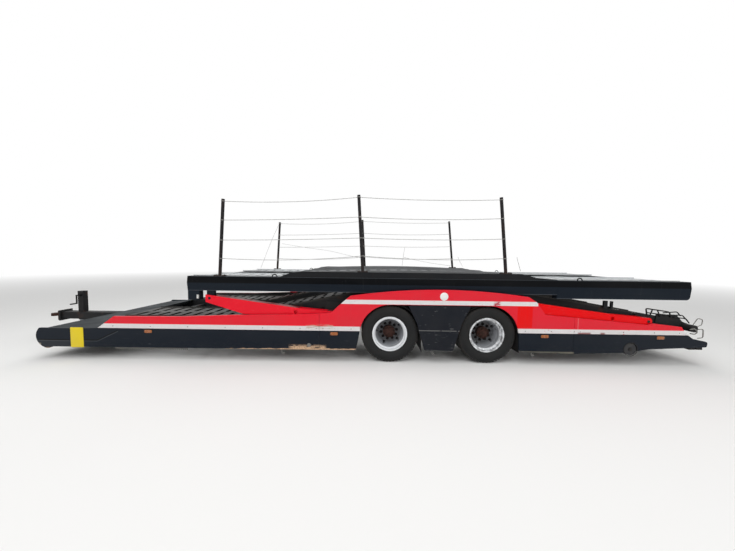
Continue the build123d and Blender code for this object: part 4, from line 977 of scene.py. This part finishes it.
# Wire ropes from post to post: a straight span less 4 * sag * t * (1 - t), with a
# clamp ring round the post at every level.
def railRopes(c):
    into, out, half = c["clamp"]
    inner, outer = c["postRadius"] - into, c["postRadius"] + out
    ring = [(-half, inner), (-half, outer), (half, outer), (half, inner)]
    t = np.linspace(0, 1, c["samples"])
    for hand, side in sides:
        ropes, clamps = [], []
        y = side * postY
        for heights, sags in c["ropes"]:
            spans = zip(c["posts"], c["posts"][1:], heights, heights[1:], sags)
            for first, last, z0, z1, sag in spans:
                x = postX(first, z0) * (1 - t) + postX(last, z1) * t
                z = z0 * (1 - t) + z1 * t - 4 * sag * t * (1 - t)
                path = np.stack([x, np.full(len(t), y), z], axis=1)
                ropes.append(tube(path, c["radius"], 6))
            for post, z in zip(c["posts"], heights):
                lean = (post[2] - post[0], 0, post[3] - post[1])
                clamps.append(turned([(postX(post, z), y, z)], lean, ring, 20, True))
        addPiece(hand + "RailRopes", ropes, "wire", "upper_deck")
        addPiece(hand + "RopeClamps", clamps, "scuffedSteel", "upper_deck")


railRopes(railing)

# Loose wires and stays on the far side, and short ties by the last post, as points
looseWires = {
    "right": (
        ((-2.262, 2.10), (-2.45, 1.68), (-2.655, 1.165)),
        ((-2.19, 1.70), (-1.681, 1.622), (-1.143, 1.552), (-0.622, 1.436), (-0.405, 1.40)),
        ((0.492, 1.650), (0.462, 1.45), (0.441, 1.250)),
        ((0.46, 1.44), (0.645, 1.396), (1.077, 1.315), (1.50, 1.262)),
        ((1.655, 1.46), (1.70, 1.36), (1.766, 1.25)),
    ),
    "left": (
        ((1.705, 1.440), (1.722, 1.38), (1.762, 1.252)),
    ),
    "radius": 0.0030,
    "insidePosts": 0.0265,
}
for hand, side in sides:
    y = side * (postY - looseWires["insidePosts"])
    paths = [smoothPath(atSide(points, y), 6) for points in looseWires[hand]]
    wires = [tube(path, looseWires["radius"], 6) for path in paths]
    addPiece(hand + "LooseWires", wires, "wire", "upper_deck")

# Bolts of the posts' feet, four to a foot, on the deck's beam or on the step boards
postFeet = {
    "boltX": 0.053,
    "boltY": 0.022,
    "footTop": 0.014,
    "stepFrom": 1.2,           # feet higher than this stand on the step boards
    "head": (-0.002, 0.007, 0.008, 0.009, 0.007),
}
stepTop = float(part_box("deck_step_boards")[1][2])
for hand, side in sides:
    bolts = []
    for footX, footZ, _, _ in railing["posts"]:
        z = (deckTop if footZ < postFeet["stepFrom"] else stepTop) + postFeet["footTop"]
        corners = [
            (footX + axleX + a * postFeet["boltX"], side * postY + b * postFeet["boltY"], z)
            for a in (-1, 1)
            for b in (-1, 1)
        ]
        bolts.append(turned(corners, (0, 0, 1), headProfile(*postFeet["head"]), 6))
    addPiece(hand + "PostBolts", bolts, "brightNut", "upper_deck")
print("railing done")


# Side markers: black bezel, two screws and a domed amber lens on each
marker = {
    "places": (-3.228, -0.746, 2.061, 3.601),
    "z": 0.391,
    "bezelHalf": (0.060, 0.028),
    "lensHalf": (0.049, 0.0205),
    "screwX": 0.0545,
    "screwHalf": (0.0028, 0.0028),
    "bezel": [(0, 0.0002), (1, 0.0002), (1, 0.0030), (0.96, 0.0042), (0.84, 0.0042), (0, 0.0042)],
    "lens": [(0, 0.0030), (1, 0.0030), (0.98, 0.0046), (0.85, 0.0054), (0.5, 0.0059), (0, 0.0060)],
    "screw": [(0, 0.004), (1, 0.004), (0.8, 0.0052), (0, 0.0055)],
}
bezels, lenses, screws = [], [], []
for _, side in sides:
    for x in marker["places"]:
        z = marker["z"]
        bezels.append(pad(x, z, side, marker["bezelHalf"], marker["bezel"]))
        lenses.append(pad(x, z, side, marker["lensHalf"], marker["lens"], 7.0))
        for way in (-1, 1):
            screwX = x + way * marker["screwX"]
            screws.append(pad(screwX, z, side, marker["screwHalf"], marker["screw"], 2.0, 10))
addPiece("markerBezels", bezels, "plastic", "chassis")
addPiece("markerScrews", screws, "brightNut", "chassis")
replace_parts(addPiece("markerLenses", lenses, "amber", "chassis"), "side_markers")

# Blank plates: a yellow one on each nose skirt, a white disc on each wheel arch, as
# x, z, half width and height, the superellipse's power and its steps
signs = {
    "yellowPlates": ("yellow", -4.186, 0.297, (0.086, 0.135), 24.0, 64),
    "whiteDiscs": ("whiteDisc", 0.708, 0.907, (0.054, 0.054), 2.0, 48),
}
thinPad = [(0, 0.0001), (1, 0.0001), (1, 0.0016), (0.985, 0.0022), (0, 0.0022)]
for name, (finish, x, z, half, power, steps) in signs.items():
    shapes = [pad(x, z, side, half, thinPad, power, steps) for _, side in sides]
    addPiece(name, shapes, finish, "chassis")

# Rivets along the stripes and seams, and a round plug in the front skirt
rivets = {
    "radius": 0.0065,
    "rise": 0.0026,
    # out and radius of a head, as parts of the rise and the radius
    "head": [(0, 0), (0, 1), (0.5, 0.92), (0.82, 0.7), (1.0, 0.35), (1.05, 0)],
    "stripeX": (-3.70, -3.20, -2.70, -2.20, -1.70, -1.20, -0.985, -0.895, -0.52,
                1.80, 2.147, 2.451, 2.531, 3.106, 3.517, 3.85),
    "stripeZ": 0.458,
    "seamX": (-0.972, -0.912, 2.462, 2.518),
    "seamZ": (0.20, 0.31, 0.40),
    "plug": (-1.081, 0.233),
    "plugRing": [(0, 0), (0, 0.026), (0.003, 0.026), (0.0045, 0.022), (0.002, 0.017), (0.002, 0)],
}
head = np.array(rivets["head"]) * (rivets["rise"], rivets["radius"])
onStripe = [(x, rivets["stripeZ"]) for x in rivets["stripeX"]]
onSeam = [(x, z) for x in rivets["seamX"] for z in rivets["seamZ"]]
heads, painted = [], []
for _, side in sides:
    axis = (0, side, 0)
    heads.append(turned(atSide(onStripe, side * sideY), axis, head, 10))
    painted.append(turned(atSide(onSeam, side * sideY), axis, head, 10))
    heads.append(turned(atSide([rivets["plug"]], side * sideY), axis, rivets["plugRing"], 28))
addPiece("stripeRivets", heads, "scuffedSteel", "chassis")
addPiece("seamRivets", painted, "skirt", "chassis")

# Small hooks under the spats and skirts, for the load straps' tails; the path runs
# along and down from each hook's place
hooks = {
    "places": ((0.567, 0.176), (1.90, 0.178), (-1.45, 0.166)),
    "path": ((0, 0), (0, -0.024), (0.008, -0.044), (0.024, -0.052), (0.034, -0.038)),
    "radius": 0.0045,
    "inset": 0.014,
}
shapes = []
for _, side in sides:
    for place in hooks["places"]:
        path = atSide(np.array(place) + hooks["path"], side * (sideY - hooks["inset"]))
        shapes.append(tube(smoothPath(path, 5), hooks["radius"]))
addPiece("strapHooks", shapes, "scuffedSteel", "chassis")

# Mud flaps behind the wheels, dark sheets that also fill the shaded gaps between the tyres
# and spats as painted shade: thin sheets bowed to the rear by bow * t^2 from top to
# foot, with a steel clamp bar ahead of each
flap = {
    "x": (0.408, 1.722),
    "top": (0.640, 0.560),
    "foot": 0.150,
    "y": (0.500, 1.236),
    "thick": 0.006,
    "bow": 0.018,
    # the bar's x and z from the flap's top
    "clamp": (-0.006, -0.0005, -0.045, -0.012),
}
sheets, bars = [], []
t = np.linspace(0, 1, 10)
for x, top in zip(flap["x"], flap["top"]):
    z = top + (flap["foot"] - top) * t
    front = x + flap["bow"] * t * t
    rear = front + flap["thick"]
    outline = np.concatenate([np.stack([front, z], axis=1), np.stack([rear, z], axis=1)[::-1]])
    barX0, barX1, barZ0, barZ1 = flap["clamp"]
    for _, side in sides:
        y0, y1 = (side * y for y in flap["y"])
        sheets.append(plate(outline, y0, y1))
        bars.append(box(x + barX0, x + barX1, y0, y1, top + barZ0, top + barZ1))
addPiece("mudFlapsAndGapShade", sheets, "bag", "chassis", 30)
addPiece("flapClamps", bars, "scuffedSteel", "chassis", 30, 0.0015)

# Rings round the skid rollers' openings and caps on their pins
roller = {
    "place": (3.214, 0.230),
    "ring": [(0.0, 0.0875), (0.0, 0.0935), (0.003, 0.093), (0.0045, 0.0905), (0.003, 0.0875)],
    "cap": [(0, 0), (0, 0.020), (0.003, 0.019), (0.0045, 0.014), (0.005, 0)],
}
rings, caps = [], []
for _, side in sides:
    centre = atSide([roller["place"]], side * sideY)
    rings.append(turned(centre, (0, side, 0), roller["ring"], 48, True))
    caps.append(turned(centre, (0, side, 0), roller["cap"], 24))
addPiece("rollerRings", rings, "underSteel", "chassis")
addPiece("rollerPinCaps", caps, "underSteel", "chassis")


# Square studs, one at each side-view point, turned about upright axes.
def toothRow(points, y, profile):
    return turned(atSide(points, y), (0, 0, 1), profile, 4, False, math.pi / 4)


# Toothed edge along the rear slope of the lower tracks, brighter where chains rub
teeth = {
    "edge": ((1.98, 0.9315), (3.86, 0.6215)),
    "y": 1.083,
    "pitch": 0.034,
    "tooth": [(-0.006, 0), (-0.006, 0.0119), (0.008, 0.0085), (0.008, 0)],
    "bright": ((3.073, 3.182), (3.354, 3.424), (3.486, 3.549)),
}
(x0, z0), (x1, z1) = teeth["edge"]
x = np.arange(x0, x1, teeth["pitch"])
points = np.stack([x, z0 + (z1 - z0) * (x - x0) / (x1 - x0)], axis=1)
shiny = np.any([(x > a) & (x < b) for a, b in teeth["bright"]], axis=0)
for label, chosen, finish in (("dull", ~shiny, "chassis"), ("bright", shiny, "scuffedSteel")):
    shapes = [toothRow(points[chosen], side * teeth["y"], teeth["tooth"]) for _, side in sides]
    addPiece(label + "TrackTeeth", shapes, finish, "chassis", 30)

# Tail hardware: handle frames, stop posts, wire loops and hooks on each side
tail = {
    "handle": ((3.557, 0.664), (3.540, 0.758), (3.866, 0.713), (3.890, 0.640)),
    "handleRadius": 0.0085,
    "stays": (
        ((3.60, 0.655), (3.63, 0.745)),
        ((3.555, 0.700), (3.80, 0.672), (4.05, 0.668), (4.115, 0.600)),
        ((3.70, 0.735), (3.74, 0.650)),
        ((3.78, 0.700), (3.97, 0.716), (4.02, 0.660)),
        ((3.93, 0.640), (4.10, 0.622), (4.15, 0.560)),
    ),
    "stayRadius": 0.0075,
    # x from, x to, z from, z to
    "posts": ((2.946, 2.999, 0.757, 0.858), (3.045, 3.074, 0.747, 0.851)),
    "postHalf": 0.012,
    "y": 1.110,
    "loop": ((4.095, 0.560), (4.150, 0.648), (4.218, 0.632), (4.212, 0.560), (4.120, 0.520)),
    "hook": ((4.020, 0.500), (4.085, 0.514), (4.125, 0.470), (4.095, 0.436), (4.030, 0.446)),
    "eye": ((4.150, 0.500), (4.214, 0.505), (4.221, 0.388), (4.150, 0.380)),
    # distance out and radius of each
    "rods": (("loop", 1.205, 0.0050), ("hook", 1.236, 0.0075), ("eye", 1.222, 0.0060)),
    "bend": 0.022,
}


# Straight runs with rounded corners: at each corner point b the path follows
# (1 - t)^2 a + 2 t (1 - t) b + t^2 c, with a and c a bend's length before and after.
def bentPath(points, y):
    p, bend = atSide(points, y), tail["bend"]
    leg = np.diff(p, axis=0)
    leg /= np.linalg.norm(leg, axis=1)[:, None]
    corner = p[1:-1, None]
    before, after = corner - bend * leg[:-1, None], corner + bend * leg[1:, None]
    t = np.linspace(0, 1, 5)[None, :, None]
    arcs = (1 - t) ** 2 * before + 2 * t * (1 - t) * corner + t ** 2 * after
    return np.concatenate([p[:1], arcs.reshape(-1, 3), p[-1:]])


bars, loops = [], []
for _, side in sides:
    y = side * tail["y"]
    bars.append(tube(bentPath(tail["handle"], y), tail["handleRadius"]))
    for stay in tail["stays"]:
        bars.append(tube(bentPath(stay, y), tail["stayRadius"]))
    for x0, x1, z0, z1 in tail["posts"]:
        bars.append(box(x0, x1, y - tail["postHalf"], y + tail["postHalf"], z0, z1))
    for name, out, radius in tail["rods"]:
        loops.append(tube(bentPath(tail[name], side * out), radius))
addPiece("tailHandles", bars, "chassis", "chassis")
addPiece("tailLoops", loops, "scuffedSteel", "chassis")

# Red triangle reflectors on the tail beam: rings of three corners, scaled and set
# out to the rear by the profile's (scale, out) pairs
reflector = {
    "place": (4.199, 0.285),
    "y": 0.62,
    "radius": 0.0504,
    "profile": ((0, 0), (1, 0), (1, 0.004), (0.86, 0.007), (0, 0.007)),
}
angle = np.arange(3) * 2 * np.pi / 3 + np.pi / 2
corners = np.stack([np.zeros(3), np.cos(angle), np.sin(angle)], axis=1) * reflector["radius"]
shapes = []
for _, side in sides:
    middle = atSide([reflector["place"]], side * reflector["y"])
    rows = [middle + corners * scale + np.array([out, 0, 0]) for scale, out in reflector["profile"]]
    shapes.append(gridShape(np.stack(rows)))
addPiece("tailReflectors", shapes, "redLens", "chassis", 25)

# Dark washers on the rear arms' pins
pivot = {
    "place": (3.459, 0.602),
    "washer": [(-0.002, 0), (-0.002, 0.020), (0.0015, 0.019), (0.0022, 0.012),
               (0.004, 0.011), (0.004, 0)],
}
armFace = float(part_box("rear_arms")[1][1])
shapes = [
    turned(atSide([pivot["place"]], side * armFace), (0, side, 0), pivot["washer"], 28)
    for _, side in sides
]
addPiece("armPivotWashers", shapes, "underSteel", "rear_lifting_arms")

# Serrated steel lip that shows under the front skirts
lip = {
    "x": (-3.72, -2.74),
    "pitch": 0.026,
    "y": 1.205,
    "z": 0.150,
    "tooth": [(-0.030, 0), (-0.030, 0.004), (0.0, 0.013), (0.030, 0.013), (0.030, 0)],
}
points = [(x, lip["z"]) for x in np.arange(*lip["x"], lip["pitch"])]
shapes = [toothRow(points, side * lip["y"], lip["tooth"]) for _, side in sides]
addPiece("skirtLipTeeth", shapes, "scuffedSteel", "chassis", 30)
print("side dressing done")

floor = {"size": 200.0, "colour": (0.80, 0.80, 0.79), "fadeFrom": 7.0, "fadeTo": 26.0}


# Floor: pale matt paint that keeps the shadow near the trailer and, only to the
# camera and in reflections, turns into the white backdrop further out.
def makeStage(c):
    half = c["size"] / 2
    mesh = bpy.data.meshes.new("floor")
    corners = [(-half, -half, 0), (half, -half, 0), (half, half, 0), (-half, half, 0)]
    mesh.from_pydata(corners, [], [(0, 1, 2, 3)])
    ground = bpy.data.objects.new("floor", mesh)
    bpy.context.scene.collection.objects.link(ground)
    f = Finish("floorPaint", Base_Color=(*c["colour"], 1), Roughness=0.9, Specular_IOR_Level=0.1)
    far = f.node("VectorMath", {"operation": "LENGTH"}, {0: f.place}, 1)
    rays = f.tree.nodes.new("ShaderNodeLightPath")
    seen = Signal(f, rays.outputs["Is Camera Ray"]).larger(Signal(f, rays.outputs["Is Glossy Ray"]))
    glow = f.node("Emission", {}, {"Color": (1, 1, 1, 1), "Strength": 1.0})
    fade = far.ramp(c["fadeFrom"], c["fadeTo"]) * seen
    shown = f.node("MixShader", {}, {0: fade, 1: Signal(f, f.shader.outputs[0]), 2: glow})
    output = next(node for node in f.tree.nodes if node.type == "OUTPUT_MATERIAL")
    f.tree.links.new(shown.socket, output.inputs[0])
    ground.data.materials.append(f.material)


studio = {
    "worldLight": 0.38,
    # place, aim, size, power
    "softBoxes": (
        ((-5, -9, 9), (0, 0, 0.5), 8.0, 520),
        ((7, -8, 6), (0.5, 0, 0.6), 6.0, 260),
        ((0, 8, 9), (0, 0, 0.8), 8.0, 220),
        ((0, -1, 11), (0, 0, 0), 10.0, 620),
    ),
}


def makeLight(spec):
    world = bpy.data.worlds.new("studio")
    bpy.context.scene.world = world
    world.use_nodes = True
    tree = world.node_tree
    tree.nodes.clear()
    rays = tree.nodes.new("ShaderNodeLightPath")
    seen, mirrored = (tree.nodes.new("ShaderNodeMath") for _ in range(2))
    seen.operation = mirrored.operation = "MAXIMUM"
    tree.links.new(rays.outputs["Is Camera Ray"], seen.inputs[0])
    tree.links.new(rays.outputs["Is Glossy Ray"], mirrored.inputs[0])
    tree.links.new(rays.outputs["Is Transmission Ray"], mirrored.inputs[1])
    tree.links.new(mirrored.outputs[0], seen.inputs[1])
    strength = tree.nodes.new("ShaderNodeMapRange")
    strength.inputs["To Min"].default_value = spec["worldLight"]
    strength.inputs["To Max"].default_value = 1.0
    tree.links.new(seen.outputs[0], strength.inputs["Value"])
    background = tree.nodes.new("ShaderNodeBackground")
    background.inputs["Color"].default_value = (1, 1, 1, 1)
    tree.links.new(strength.outputs[0], background.inputs["Strength"])
    output = tree.nodes.new("ShaderNodeOutputWorld")
    tree.links.new(background.outputs[0], output.inputs[0])
    for number, (place, aim, size, power) in enumerate(spec["softBoxes"]):
        data = bpy.data.lights.new(f"softBox{number}", "AREA")
        data.shape, data.size, data.energy = "SQUARE", size, power
        lamp = bpy.data.objects.new(f"softBox{number}", data)
        lamp.location = place
        turn = (Vector(aim) - Vector(place)).to_track_quat("-Z", "Y")
        lamp.rotation_euler = turn.to_euler()
        bpy.context.scene.collection.objects.link(lamp)


makeStage(floor)
makeLight(studio)
bpy.context.scene.view_settings.view_transform = "Standard"
print("stage and light done")
